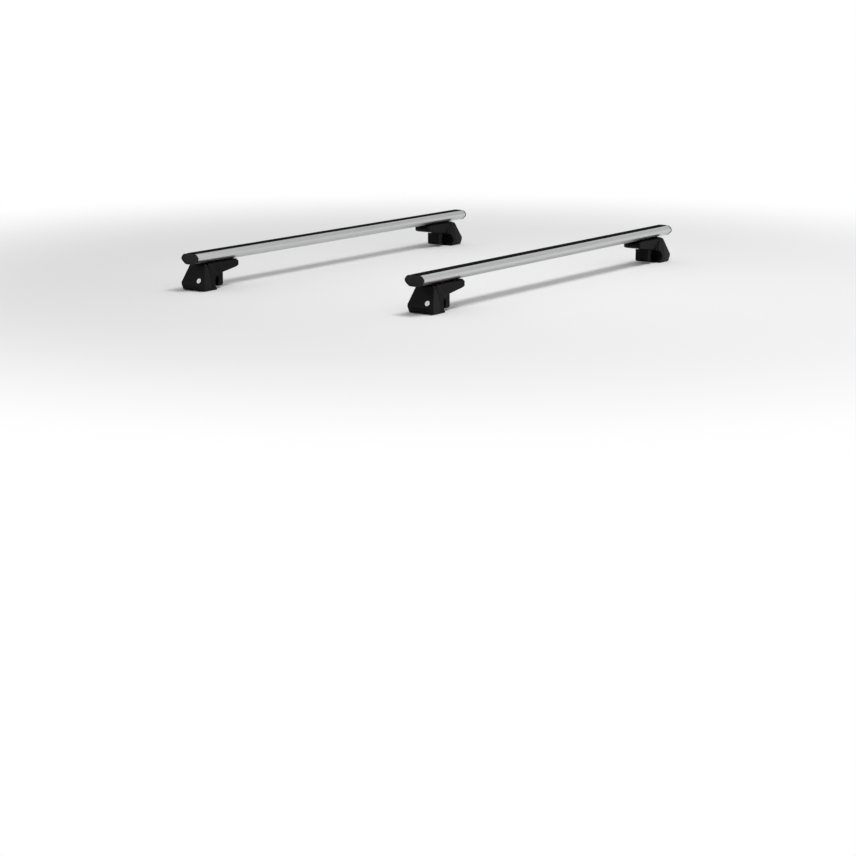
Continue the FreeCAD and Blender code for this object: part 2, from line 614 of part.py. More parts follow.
def claw_nut(name):
    block = doc.addObject("Part::Box", name + "Block")
    block.setExpression("Length", bound("nut_length"))
    block.setExpression("Width", bound("nut_width"))
    block.setExpression("Height", bound("nut_width"))
    block.setExpression("Placement.Base.x", bound(NUT_START))
    block.setExpression("Placement.Base.y", bound("-nut_width/2"))
    block.setExpression("Placement.Base.z", bound("bolt_height - nut_width/2"))
    thread = doc.addObject("Part::Cylinder", name + "Thread")
    thread.setExpression("Radius", bound("bolt_radius + running_play"))
    thread.setExpression("Height", bound(f"nut_length + 2*{PAST}"))
    thread.Placement.Rotation = FreeCAD.Rotation(Y_AXIS, 90)
    thread.setExpression("Placement.Base.x", bound(f"{NUT_START} - {PAST}"))
    thread.setExpression("Placement.Base.z", bound("bolt_height"))
    nut = doc.addObject("Part::Cut", name)
    nut.Base = block
    nut.Tool = thread
    return nut


def claw(name):
    body = new_body(name)
    leg = new_sketch(body, name + "Leg", "XZ")
    add_loop(leg, [
        ("rail_reach", "claw_foot"), ("claw_back - claw_chamfer", "claw_foot"),
        ("claw_back", "claw_foot + claw_chamfer"), ("claw_back", f"{under('claw_back')} - 2*claw_play"),
        ("claw_brow", f"{under('claw_brow')} - 2*claw_play"), ("claw_brow", RAIL_Z), ("rail_reach", RAIL_Z)])
    extrude("Pad", leg, "claw_width", "Symmetric")
    neck = new_sketch(body, name + "Neck", "XZ")
    add_loop(neck, rectangle("claw_start", "claw_back", RAIL_Z, f"{TUNNEL_LOW} + claw_play"))
    extrude("Pad", neck, "tunnel_neck - 2*claw_play", "Symmetric")
    block = new_sketch(body, name + "Block", "XZ")
    add_loop(block, rectangle(
        "claw_start", "claw_end", f"{TUNNEL_LOW} + slide_clearance", f"{TUNNEL_HIGH} - claw_play"))
    extrude("Pad", block, "tunnel_width - 2*claw_play", "Symmetric")
    seat = new_sketch(body, name + "Seat", "XZ")
    add_circle(seat, "rail_reach", RAIL_Z, SEAT_RADIUS)
    extrude("Pocket", seat, None, "Symmetric")
    pocket = new_sketch(body, name + "Pocket", "XY", TUNNEL_HIGH)
    add_loop(pocket, rectangle(
        f"{NUT_START} - nut_play", f"{NUT_START} + nut_length + nut_play",
        "-nut_width/2 - nut_play", "nut_width/2 + nut_play"))
    extrude("Pocket", pocket, f"{TUNNEL_HIGH} - bolt_height + nut_width/2 + nut_play")
    bore = new_sketch(body, name + "Bore", "YZ", "claw_start")
    add_circle(bore, "0", "bolt_height", "bolt_radius + bolt_play")
    extrude("Pocket", bore, "claw_end - claw_start", backward=True)
    return body


def ring_pad(name, width, low, high):
    """Rubber around the rail between two angles, seen along the rail."""
    body = new_body(name)
    ring = new_sketch(body, name + "Ring", "XZ")
    for radius in ("rail_radius", SEAT_RADIUS):
        add_circle(ring, "rail_reach", RAIL_Z, radius)
    extrude("Pad", ring, width, "Symmetric")
    rest = new_sketch(body, name + "Rest", "XZ")
    turn = value(f"{low} + 360 - {high}")
    steps = int(turn // 60) + 2
    reach = f"3*{SEAT_RADIUS}"
    corners = [("rail_reach", RAIL_Z)]
    for step in range(steps + 1):
        angle = f"({high} + ({low} + 360 - {high})*{step}/{steps})"
        corners.append((f"rail_reach + {reach}*cos({angle})", f"{RAIL_Z} + {reach}*sin({angle})"))
    add_loop(rest, corners)
    extrude("Pocket", rest, None, "Symmetric")
    return body


def rail_pad(name):
    return ring_pad(name, "rail_pad_width", "rail_pad_start", "rail_pad_end")


def claw_pad(name):
    return ring_pad(name, "claw_pad_width", "claw_pad_low", "claw_pad_high")


def bar_pad(name):
    body = new_body(name)
    sheet_of_rubber = new_sketch(body, name + "Sheet", "XY", BODY_TOP)
    add_loop(sheet_of_rubber, rectangle(WALL, "beam_flat", "-bar_pad_width/2", "bar_pad_width/2"))
    half = "channel_opening/2"
    add_loop(sheet_of_rubber, rectangle(
        "key_start - slide_clearance", "key_end + slide_clearance", f"-{half}", half))
    extrude("Pad", sheet_of_rubber, "bar_pad_thickness")
    return body


def slide_key(name):
    body = new_body(name)
    section = new_sketch(body, name + "Section", "YZ", "key_start")
    neck = "channel_opening/2 - slide_clearance"
    head = "channel_width/2 - slide_clearance"
    right = [(neck, BODY_TOP), (neck, KEY_LOW), (head, KEY_LOW), (head, KEY_TOP)]
    add_loop(section, right + [(f"-({y})", z) for y, z in reversed(right)])
    extrude("Pad", section, "key_end - key_start")
    sinks = new_sketch(body, name + "Sinks", "XY", KEY_TOP)
    holes = new_sketch(body, name + "Holes", "XY", KEY_TOP)
    for place in ("screw_outer", "screw_inner"):
        add_circle(sinks, place, "0", "screw_head_radius + screw_play")
        add_circle(holes, place, "0", "screw_radius + screw_play")
    extrude("Pocket", sinks, "screw_head")
    extrude("Pocket", holes)
    return body


def key_screws(name):
    screws = []
    for place in ("screw_outer", "screw_inner"):
        head = doc.addObject("Part::Cylinder", name + "Head")
        head.setExpression("Radius", bound("screw_head_radius"))
        head.setExpression("Height", bound("screw_head"))
        head.setExpression("Placement.Base.x", bound(place))
        head.setExpression("Placement.Base.z", bound(f"{KEY_TOP} - screw_head"))
        shank = doc.addObject("Part::Cylinder", name + "Shank")
        shank.setExpression("Radius", bound("screw_radius"))
        shank.setExpression("Height", bound(f"{KEY_TOP} - screw_head/2 - {BODY_TOP} + screw_depth"))
        shank.setExpression("Placement.Base.x", bound(place))
        shank.setExpression("Placement.Base.z", bound(f"{BODY_TOP} - screw_depth"))
        screw = doc.addObject("Part::Fuse", name + "Screw")
        screw.Base = head
        screw.Tool = shank
        screws.append(screw)
    group = doc.addObject("Part::Compound", name)
    group.Links = screws
    return group


FOOT_PIECES = [
    foot_body, lock_cover, hinge_pin, lock_plug, tension_bolt, claw_nut, claw, claw_pad, rail_pad, bar_pad,
    slide_key, key_screws]
HALF = "(bar_length/2 + cap_thickness)"
NODES = []


def finish(item, label, x, y, z, turn=0, before=None):
    """Name a finished piece and put it in its place in the pair."""
    item.Label = label
    place = FreeCAD.Placement(
        FreeCAD.Vector(value(x), value(y), value(z)), FreeCAD.Rotation(Z_AXIS, turn))
    item.Placement = place.multiply(before) if before else place
    NODES.append(item)


def own_place(make):
    """Where a piece that is drawn along its own axis sits in the foot's frame."""
    if make is hinge_pin:
        turn = FreeCAD.Rotation(X_AXIS, -90)
        return FreeCAD.Placement(
            FreeCAD.Vector(value("hinge_inset"), value("-hinge_pin_length/2"), value(HINGE_Z)), turn)
    if make is lock_plug:
        turn = FreeCAD.Rotation(Y_AXIS, value("face_slope") - 90)
        return FreeCAD.Placement(
            FreeCAD.Vector(value(face_x("lock_height")), value("lock_side"), value("lock_height")), turn)
    return None


for bar, across in (("front", "-bar_spacing/2"), ("rear", "bar_spacing/2")):
    for make in (bar_extrusion, bar_top_strip):
        label = f"{bar}_{make.__name__}"
        finish(make(label), label, "0", across, "foot_height")
    for side, turn in (("right", 0), ("left", 180)):
        label = f"{bar}_bar_{side}_cap"
        finish(bar_cap(label), label, "0", across, "foot_height", turn)
    for side, turn, sign in (("right", 0, "-"), ("left", 180, "")):
        inward = f"{sign}({HALF} - {bar}_{side}_inset)"
        for make in FOOT_PIECES:
            label = f"{bar}_{side}_{make.__name__}"
            finish(make(label), label, inward, across, "0", turn, own_place(make))

doc.recompute()

for item in doc.Objects:
    if any(word in item.State for word in ("Invalid", "Error")):
        raise RuntimeError(f"{item.Label} did not build: {item.State}")
os.makedirs("parts", exist_ok=True)
for item in NODES:
    shape = item.Shape
    if shape.isNull() or not shape.isValid():
        raise RuntimeError(f"{item.Label} has no valid shape")
    shape.exportStep(f"parts/{item.Label}.step")
    print(f"{item.Label}: {len(shape.Solids)} solids, {shape.Volume / 1000:.1f} cm3")
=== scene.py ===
# %% [markdown]
# # A pair of roof crossbars
#
# Two aluminium bars carry a load. Each stands on two black feet, and each foot grips a round tube with a
# claw that a hidden bolt pulls in. The frame brings every piece at its real size, plain and sharp-edged.
# This lesson gives most pieces their rounded edges, their small parts and their finishes. Pins, nuts,
# gaskets, keys and screws hardly show, so they keep their plain form and get a finish only.

# %% Load the frame
import json
import math

import bpy
from mathutils import Matrix, Vector


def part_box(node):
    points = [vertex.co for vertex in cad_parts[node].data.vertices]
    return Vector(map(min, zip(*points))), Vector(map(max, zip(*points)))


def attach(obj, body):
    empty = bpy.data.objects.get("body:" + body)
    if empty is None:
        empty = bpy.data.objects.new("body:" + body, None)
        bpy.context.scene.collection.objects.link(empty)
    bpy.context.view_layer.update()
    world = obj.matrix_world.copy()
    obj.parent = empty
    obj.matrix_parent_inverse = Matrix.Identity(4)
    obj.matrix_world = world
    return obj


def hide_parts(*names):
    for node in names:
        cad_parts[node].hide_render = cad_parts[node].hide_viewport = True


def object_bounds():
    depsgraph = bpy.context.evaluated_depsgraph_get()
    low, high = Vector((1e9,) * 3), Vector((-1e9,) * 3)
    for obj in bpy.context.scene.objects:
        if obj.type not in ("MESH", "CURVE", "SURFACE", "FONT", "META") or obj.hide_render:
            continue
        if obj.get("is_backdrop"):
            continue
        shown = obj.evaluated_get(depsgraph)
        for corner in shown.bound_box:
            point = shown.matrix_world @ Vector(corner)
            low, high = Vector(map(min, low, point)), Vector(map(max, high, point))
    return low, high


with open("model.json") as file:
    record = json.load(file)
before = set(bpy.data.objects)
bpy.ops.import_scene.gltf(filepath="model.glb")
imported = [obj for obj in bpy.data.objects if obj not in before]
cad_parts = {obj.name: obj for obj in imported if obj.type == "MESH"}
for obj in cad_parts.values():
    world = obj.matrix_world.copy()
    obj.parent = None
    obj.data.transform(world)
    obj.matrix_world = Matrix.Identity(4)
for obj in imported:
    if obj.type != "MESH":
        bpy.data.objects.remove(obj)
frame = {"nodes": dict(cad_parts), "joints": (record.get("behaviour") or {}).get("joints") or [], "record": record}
cad_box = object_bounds()
MM = 0.001
BARS = ("front", "rear")
FEET = ("front_right", "front_left", "rear_right", "rear_left")
joints = {joint["name"]: joint for joint in frame["joints"]}

# %% [markdown]
# ## Working by hand, in code
#
# At the screen you click on edges or faces and then press a key. In a script the click is a test: it looks
# at the place of each edge, or at the centre and direction of each face, and says which ones are meant.
# The operator that follows acts on exactly those, as it would under your hand.

# %% Select edges or faces by a test
TOLERANCE = 0.02 * MM


def make_active(piece):
    bpy.ops.object.select_all(action="DESELECT")
    piece.select_set(True)
    bpy.context.view_layer.objects.active = piece


def pick(piece, kind, wanted):
    """Go into edit mode with only those edges or faces selected that the test wants."""
    make_active(piece)
    mesh = piece.data
    for group in (mesh.vertices, mesh.edges, mesh.polygons):
        group.foreach_set("select", [False] * len(group))
    bpy.context.tool_settings.mesh_select_mode = (False, kind == "EDGE", kind == "FACE")
    if kind == "EDGE":
        for edge in mesh.edges:
            edge.select = wanted(*(mesh.vertices[corner].co for corner in edge.vertices))
    else:
        for face in mesh.polygons:
            face.select = wanted(face.center, face.normal)
    bpy.ops.object.mode_set(mode="EDIT")


def leave_edit():
    bpy.ops.object.mode_set(mode="OBJECT")


def near(first, second, gap=TOLERANCE):
    return abs(first - second) < gap


def everything(centre, normal):
    return True


# %% [markdown]
# Most moulded and extruded parts start as an outline that is pulled straight. So the commonest start here
# is a filled circle whose points are moved onto the outline's corners, and which is then extruded. The
# roundings come afterwards, as bevels, because then each one can have its own size.

# %% Blanks
def blank(name, outline, travel):
    """A filled outline of 3-D corners, extruded along a straight way."""
    bpy.ops.object.select_all(action="DESELECT")
    bpy.ops.mesh.primitive_circle_add(vertices=len(outline), fill_type="NGON")
    piece = bpy.context.object
    piece.name = name
    for point, corner in zip(piece.data.vertices, outline):
        point.co = corner
    pick(piece, "FACE", everything)
    bpy.ops.mesh.extrude_region_move(TRANSFORM_OT_translate={"value": travel})
    bpy.ops.mesh.select_all(action="SELECT")
    bpy.ops.mesh.normals_make_consistent(inside=False)
    leave_edit()
    return piece


# %% [markdown]
# Three more moves do most of the work. Bevel rounds the edges that a test picks. A modifier is set up and
# applied at once. A Boolean, which is such a modifier, cuts one piece out of another or joins the two. They
# could stay live, as at the screen, but an applied one leaves a plain mesh that the next bevel can work on.

# %% Roundings, cuts and modifiers
def round_off(piece, offset, wanted, steps=6):
    pick(piece, "EDGE", wanted)
    bpy.ops.mesh.bevel(offset=offset, segments=steps, affect="EDGES", clamp_overlap=True)
    leave_edit()


def modify(piece, kind, **settings):
    make_active(piece)
    modifier = piece.modifiers.new(kind.title(), kind)
    for setting, value in settings.items():
        setattr(modifier, setting, value)
    bpy.ops.object.modifier_apply(modifier=modifier.name)


def combine(piece, tool, operation="DIFFERENCE"):
    """Cut a tool out of a piece, or join the two, and put the tool away."""
    modify(piece, "BOOLEAN", operation=operation, object=tool, solver="EXACT")
    bpy.data.objects.remove(tool)


# %% [markdown]
# A cut leaves doubled points and seams on flat faces. They are merged before the last step, in which a
# Bevel modifier takes the sharpness off every edge that is left. No moulded or drawn edge is truly sharp,
# and the thin line of light on a rounded edge is what makes a black part readable.

# %% Clean and soften
MERGE_GAP, SLIVER = 0.005 * MM, 0.004 * MM
FLAT_DEGREES, SHARP_DEGREES = 0.4, 28


def tidy_mesh(piece):
    pick(piece, "FACE", everything)
    bpy.ops.mesh.remove_doubles(threshold=MERGE_GAP)
    bpy.ops.mesh.dissolve_limited(angle_limit=math.radians(FLAT_DEGREES))
    leave_edit()


def shade(piece, degrees=SHARP_DEGREES):
    make_active(piece)
    bpy.ops.object.shade_smooth_by_angle(angle=math.radians(degrees))
    modify(piece, "WEIGHTED_NORMAL", keep_sharp=True)


def break_edges(piece, width):
    """Give every sharp edge a small rounding and shade the piece smooth."""
    tidy_mesh(piece)
    modify(piece, "BEVEL", width=width, segments=3, limit_method="ANGLE",
           angle_limit=math.radians(SHARP_DEGREES), miter_outer="MITER_ARC", use_clamp_overlap=True)
    pick(piece, "FACE", everything)
    bpy.ops.mesh.dissolve_degenerate(threshold=SLIVER)
    leave_edit()
    shade(piece)


# %% [markdown]
# ## The bar
#
# The bar is a drawn aluminium section, flat on top, with a rounded nose on each side and a channel below
# that the feet slide along. A hand could loft it, but a section that never changes is one extrusion. The
# long edges are bevelled in pairs: shoulder, upper nose, lower nose and belly each have their own radius.

# %% Bar section
bar_low, bar_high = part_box("front_bar_extrusion")
BAR_HALF = bar_high.x
BAR_Z = bar_low.z
BAR_Y = (bar_low.y + bar_high.y) / 2
BAR_HEIGHT = bar_high.z - bar_low.z
NOSE_Y = bar_high.y - BAR_Y
NOSE_LOW, NOSE_HIGH = 12 * MM, 18 * MM
SHOULDER_Y, BELLY_Y = 20 * MM, 15 * MM
BAR_CORNERS = ((SHOULDER_Y, BAR_HEIGHT), (NOSE_Y, NOSE_HIGH), (NOSE_Y, NOSE_LOW), (BELLY_Y, 0))
BAR_RADII, BAR_STEPS = (10 * MM, 6.5 * MM, 6.5 * MM, 13 * MM), 8


def both_sides(corners):
    """A half outline and its mirror image, as one closed outline."""
    return list(corners) + [(-y, z) for y, z in reversed(corners)]


def bar_outline(x, grow=0.0):
    """Section of the front bar at a place along it; a cap stands a little proud of it."""
    proud = [(y + grow, z + grow * (1 if z > BAR_HEIGHT / 2 else -1)) for y, z in BAR_CORNERS]
    return [Vector((x, BAR_Y + y, BAR_Z + z)) for y, z in both_sides(proud)]


def setback(radius, before, corner, after):
    """How far from a corner a rounding of that radius starts, which is what Bevel calls its offset."""
    opening = (Vector(before) - Vector(corner)).angle(Vector(after) - Vector(corner))
    return radius / math.tan(opening / 2)


def along_bar(a, b):
    """Whether the edge between two points runs along the bar."""
    return near(a.y, b.y) and near(a.z, b.z)


def round_bar(piece, grow=0.0):
    outline = bar_outline(0, grow)
    for number, radius in enumerate(BAR_RADII):
        corner = outline[number]
        offset = setback(radius, outline[number - 1], corner, outline[number + 1])
        round_off(piece, offset, lambda a, b: along_bar(a, b) and near(a.z, corner.z)
                  and near(abs(a.y - BAR_Y), corner.y - BAR_Y), BAR_STEPS)


def count(piece):
    return f"{piece.name}: {len(piece.data.polygons)} faces"


bar = blank("bar", bar_outline(-BAR_HALF), (2 * BAR_HALF, 0, 0))
round_bar(bar)
print(count(bar))

# %% [markdown]
# Inside, the section is hollow: a T slot on top for the strip, a T channel below for the feet, and three
# closed chambers between them. Each is a longer blank that is taken out with a Boolean modifier.

# %% Slots and chambers
LIP = 2.6 * MM
SLOT_GAP, SLOT_HALF, SLOT_DEPTH = 12 * MM, 11 * MM, 6.5 * MM
CHANNEL_GAP, CHANNEL_HALF, CHANNEL_DEPTH = 10 * MM, 9 * MM, 5.5 * MM
WEB, SKIN = 2.2 * MM, 2.4 * MM
CUTTER_REACH, BAR_SHARP_DEGREES = 1.01, 35
chamber_low = LIP + CHANNEL_DEPTH + WEB
chamber_high = BAR_HEIGHT - LIP - SLOT_DEPTH - WEB


def long_cut(piece, outline):
    """Cut an outline of y and z out of the front bar, end to end."""
    start = -CUTTER_REACH * BAR_HALF
    corners = [Vector((start, BAR_Y + y, BAR_Z + z)) for y, z in outline]
    combine(piece, blank("cutter", corners, (-2 * start, 0, 0)))


def slot_outline(gap, half, depth, edge, inward):
    """A T slot that opens at the section's edge; inward is the way that it goes in."""
    return both_sides([
        (gap / 2, edge - inward * LIP), (gap / 2, edge + inward * LIP),
        (half, edge + inward * LIP), (half, edge + inward * (LIP + depth))])


def side_chamber(side, gap=0.0):
    """One of the two side chambers as y and z, made smaller by a gap for what goes into it."""
    by_slot = SLOT_HALF + WEB + gap
    by_channel = CHANNEL_HALF + WEB + gap
    corners = (
        (by_slot, BAR_HEIGHT - SKIN - gap), (SHOULDER_Y - SKIN / 2 - gap, BAR_HEIGHT - SKIN - gap),
        (NOSE_Y - SKIN - gap, NOSE_HIGH - SKIN / 3), (NOSE_Y - SKIN - gap, NOSE_LOW + SKIN / 3),
        (BELLY_Y - SKIN / 3 - gap / 2, SKIN + gap), (by_channel, SKIN + gap),
        (by_channel, chamber_low - gap), (by_slot, chamber_low + WEB))
    return [(side * y, z) for y, z in corners]


long_cut(bar, slot_outline(SLOT_GAP, SLOT_HALF, SLOT_DEPTH, BAR_HEIGHT, -1))
long_cut(bar, slot_outline(CHANNEL_GAP, CHANNEL_HALF, CHANNEL_DEPTH, 0, 1))
long_cut(bar, both_sides([(CHANNEL_HALF, chamber_low), (CHANNEL_HALF, chamber_high)]))
for side in (1, -1):
    long_cut(bar, side_chamber(side))
tidy_mesh(bar)
shade(bar, BAR_SHARP_DEGREES)
print(count(bar))

# %% [markdown]
# What repeats is modelled once. A copy gets its own mesh, moved to its place, so that the object itself
# stays at the origin. It then rides on the body that carries it and stands for the plain node there.

# %% Put copies in place
finished = {}


def place_copy(model, node, body, shift):
    mesh = model.data.copy()
    mesh.transform(shift)
    piece = bpy.data.objects.new(f"{node}_finished", mesh)
    bpy.context.scene.collection.objects.link(piece)
    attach(piece, body)
    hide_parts(node)
    finished[node] = piece


bar_shift = {}
for name in BARS:
    low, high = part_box(f"{name}_bar_extrusion")
    bar_shift[name] = Matrix.Translation((0, (low.y + high.y) / 2 - BAR_Y, 0))
    place_copy(bar, f"{name}_bar_extrusion", "bars", bar_shift[name])
bpy.data.objects.remove(bar)
print("bars at y =", [round(shift.translation.y + BAR_Y, 3) for shift in bar_shift.values()])

# %% [markdown]
# ## The rubber strip
#
# A black rubber strip lies in the top slot and keeps a load from sliding. Its top has fine ribs along its
# length. They are real grooves in the outline, because light along the bar catches their edges.

# %% Rubber strip
strip_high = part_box("front_bar_top_strip")[1]
STRIP_HALF = strip_high.y - BAR_Y
STRIP_RISE = strip_high.z - bar_high.z
RIBS, RIB_EDGE, RIB_FOOT, RIB_SHARP_DEGREES = 5, 0.16 * MM, 0.3 * MM, 40
GROOVE_DEPTH, GROOVE_TOP, GROOVE_FLOOR = 0.8 * MM, 0.35 * MM, 0.2 * MM
NECK, BARB, BARB_TOP, BARB_TIP = 5.7 * MM, 8.5 * MM, -2.9 * MM, -5.3 * MM
pitch = 2 * STRIP_HALF / RIBS
ribbed_top = []
for rib in range(RIBS):
    left = -STRIP_HALF + rib * pitch
    crown = STRIP_RISE if 0 < rib < RIBS - 1 else STRIP_RISE - GROOVE_TOP
    ribbed_top += [(left + GROOVE_TOP, crown), (left + pitch - GROOVE_TOP, crown)]
    if rib < RIBS - 1:
        ribbed_top += [(left + pitch + side * GROOVE_FLOOR, STRIP_RISE - GROOVE_DEPTH) for side in (-1, 1)]
root = [
    (STRIP_HALF, GROOVE_TOP), (STRIP_HALF, 0), (NECK, 0), (NECK, BARB_TOP), (BARB, BARB_TOP),
    (NECK, BARB_TIP)]
strip_outline = ribbed_top + root + [(-y, z) for y, z in reversed(root)]
strip = blank("strip", [Vector((-BAR_HALF, BAR_Y + y, bar_high.z + z)) for y, z in strip_outline],
              (2 * BAR_HALF, 0, 0))
round_off(strip, RIB_EDGE, lambda a, b: along_bar(a, b) and a.z > bar_high.z + RIB_FOOT, 2)
shade(strip, RIB_SHARP_DEGREES)
for name in BARS:
    place_copy(strip, f"{name}_bar_top_strip", "bars", bar_shift[name])
print(count(strip))
bpy.data.objects.remove(strip)

# %% [markdown]
# ## The end caps
#
# A moulded cap closes each end of a bar. Its flange stands a little proud of the section, and its face is
# dished so that the rim reads as a line. Inset draws the rim, a second inset with depth sinks the dish,
# and a bevel takes the edge off both.

# %% End caps
cap_low, cap_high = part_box("front_bar_right_cap")
CAP_PROUD = cap_high.z - bar_high.z
CAP_RIM, CAP_WALL, CAP_DISH, CAP_EDGE = 3.4 * MM, 1.2 * MM, 1.4 * MM, 0.8 * MM
FACING = 0.9
cap = blank("cap", bar_outline(cap_low.x, CAP_PROUD), (-BAR_HALF - cap_low.x, 0, 0))
round_bar(cap, CAP_PROUD)
pick(cap, "FACE", lambda centre, normal: normal.x < -FACING)
bpy.ops.mesh.inset(thickness=CAP_RIM, depth=0)
bpy.ops.mesh.inset(thickness=CAP_WALL, depth=-CAP_DISH)
leave_edit()
modify(cap, "BEVEL", width=CAP_EDGE, segments=4, limit_method="ANGLE",
       angle_limit=math.radians(SHARP_DEGREES))
print(count(cap))

# %% [markdown]
# Two stoppers behind the flange hold the cap in the side chambers of the bar. They are joined after the
# bevel, so that nothing fills the corner where they meet the flange, and the cap sits flat on the bar.

# %% Cap stoppers
STOPPER_GAP, STOPPER_EDGE, STOPPER_ROOT = 0.3 * MM, 0.5 * MM, 1 * MM
root_x = -BAR_HALF - STOPPER_ROOT
for side in (1, -1):
    corners = [Vector((root_x, BAR_Y + y, BAR_Z + z)) for y, z in side_chamber(side, STOPPER_GAP)]
    stopper = blank("stopper", corners, (cap_high.x - root_x, 0, 0))
    break_edges(stopper, STOPPER_EDGE)
    combine(cap, stopper, "UNION")
shade(cap)
to_middle = Matrix.Translation((0, BAR_Y, 0))
half_turn = to_middle @ Matrix.Rotation(math.pi, 4, "Z") @ to_middle.inverted()
for name in BARS:
    place_copy(cap, f"{name}_bar_right_cap", "bars", bar_shift[name])
    place_copy(cap, f"{name}_bar_left_cap", "bars", bar_shift[name] @ half_turn)
print(count(cap))
bpy.data.objects.remove(cap)

# %% [markdown]
# ## A foot and its own frame
#
# The four feet are alike, two of them turned half way round. So each foot piece is modelled once, in a
# frame of its own: x runs inward along the bar from the top of the outer face, y across, z up from the
# floor. The hinge of each cover tells where a foot stands and which way it faces.

# %% Where each foot stands
HINGE_X = 5 * MM
HINGE_Z = joints["front_right_cover_hinge"]["pos_m"][2]
foot_place = {}
for foot in FEET:
    x, y = joints[f"{foot}_cover_hinge"]["pos_m"][:2]
    turn = 0 if foot.endswith("right") else math.pi
    to_hinge = Matrix.Translation((x, y, 0))
    foot_place[foot] = to_hinge @ Matrix.Rotation(turn, 4, "Z") @ Matrix.Translation((-HINGE_X, 0, 0))
    print(foot, "foot stands at", [round(place, 3) for place in foot_place[foot].translation])


def on_feet(model, word, body):
    for foot in FEET:
        place_copy(model, f"{foot}_{word}", f"{foot}_{body}", foot_place[foot])
    print(count(model))
    bpy.data.objects.remove(model)


def upright_blank(name, outline, half_width, middle=0.0):
    """An outline of x and z, extruded across the foot."""
    corners = [Vector((x, middle - half_width, z)) for x, z in outline]
    return blank(name, corners, (0, 2 * half_width, 0))


def level_blank(name, start, outline, length):
    """An outline of y and z, extruded inward along the bar."""
    return blank(name, [Vector((start, y, z)) for y, z in outline], (length, 0, 0))


# %% [markdown]
# ## The foot body
#
# The body is one moulding: a leg that widens downwards, a beam under the bar, a round seat for the tube and
# a tunnel that the claw slides in. It could be sculpted from one block, but leg and beam have different
# outlines, so they are two blanks that are rounded first and then joined. The leg's inner end is sliced at
# a slant, and a wide rounding there leads the eye softly from the leg to the beam.

# %% Leg
foot_low, foot_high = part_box("front_right_foot_body")
BODY_TOP = foot_high.z
LEG_TOP, LEG_BASE = 26 * MM, 36 * MM
LEG_WIDE = (foot_high.y - foot_low.y) / 2
WIDE_Z = 19 * MM
WALL, HOUSE_TOP, HOUSE_END = 12 * MM, 28 * MM, 48 * MM
TUBE_X, TUBE_Z, SEAT_RADIUS, ARCH_SINK = 45 * MM, 19 * MM, 18.5 * MM, 0.7 * MM
ARCH_Z = TUBE_Z + SEAT_RADIUS - ARCH_SINK
BELT, FLANK, SOLE = 5 * MM, 13 * MM, 2 * MM
ON_PLANE = 1e-7
house_slope = Vector((BODY_TOP - ARCH_Z, 0, HOUSE_END - HOUSE_TOP)).normalized()


def slice_off(piece, place, way):
    """Cut a piece by a plane and keep the side that the way points away from."""
    pick(piece, "FACE", everything)
    bpy.ops.mesh.bisect(plane_co=place, plane_no=way, use_fill=True, clear_outer=True, threshold=ON_PLANE)
    leave_edit()


def on_house_end(point):
    return near((point - Vector((HOUSE_TOP, 0, BODY_TOP))).dot(house_slope), 0)


leg_half = [(LEG_TOP, BODY_TOP), (LEG_WIDE, WIDE_Z), (LEG_BASE, 0)]
leg = level_blank("foot_body", WALL, both_sides(leg_half), HOUSE_END - WALL)
round_off(leg, BELT, lambda a, b: near(a.z, WIDE_Z) and near(b.z, WIDE_Z) and near(a.y, b.y))
round_off(leg, SOLE, lambda a, b: near(a.z, 0) and near(b.z, 0) and near(a.y, b.y))
slice_off(leg, (HOUSE_TOP, 0, BODY_TOP), house_slope)
round_off(leg, FLANK, lambda a, b: on_house_end(a) and on_house_end(b) and not near(a.z, b.z))
print(count(leg))

# %% [markdown]
# The beam runs under the bar and ends in a blunt tip. Seen from the side it is one outline. Its two tip
# corners are sliced off, and a Bevel modifier rounds what is left before the beam joins the leg.

# %% Beam
BEAM_TIP = foot_high.x - foot_place["front_right"].translation.x
BEAM_HALF, BEAM_FLAT = 26 * MM, 134 * MM
BEAM_LOW, BEAM_LOW_END = 49 * MM, 128 * MM
BROW_RUN, BROW_DROP, TIP_DROP = 5.5 * MM, 4 * MM, 9 * MM
CHIN_RUN, CHIN_DROP = 6 * MM, 16 * MM
TIP_CORNER, TIP_EDGE, TIP_DEGREES = 10 * MM, 3 * MM, 18
beam_start = WALL + SOLE


def under(x):
    """Underside of the beam at a place along it."""
    return ARCH_Z + (x - TUBE_X) * (BEAM_LOW - ARCH_Z) / (BEAM_LOW_END - TUBE_X)


brow = (BEAM_TIP - BROW_RUN, BODY_TOP - BROW_DROP)
tip = (BEAM_TIP, BODY_TOP - TIP_DROP)
chin = (BEAM_TIP - CHIN_RUN, BODY_TOP - CHIN_DROP)
beam = upright_blank("beam", [
    (beam_start, BODY_TOP), (BEAM_FLAT, BODY_TOP), brow, tip, chin,
    (BEAM_LOW_END, BEAM_LOW), (beam_start, under(beam_start))], BEAM_HALF)
for side in (1, -1):
    slice_off(beam, (BEAM_TIP - TIP_CORNER, side * BEAM_HALF, 0), (1, side, 0))
modify(beam, "BEVEL", width=TIP_EDGE, segments=5, limit_method="ANGLE",
       angle_limit=math.radians(TIP_DEGREES))
combine(leg, beam, "UNION")
print(count(leg))

# %% [markdown]
# The seat for the tube and the tunnel for the claw are cut after the roundings, so that their edges stay
# crisp. Round cutters are rods between two points, straight ones are blanks.

# %% Seat, gap, tunnel and bore
PAST, LAP = 1 * MM, 0.1 * MM
ACROSS = 60 * MM
LIP_REACH = 35.5 * MM
TUNNEL_START, LIPS_END, KEYHOLE_END = 62 * MM, 112 * MM, 136 * MM
TUNNEL_HALF, NECK_HALF = 12 * MM, 8.5 * MM
TUNNEL_LOW, TUNNEL_HIGH = 54.5 * MM, 63 * MM
BOLT_Z, BORE = joints["front_right_bolt_turn"]["pos_m"][2], 3.4 * MM
SEAT_SIDES = 96


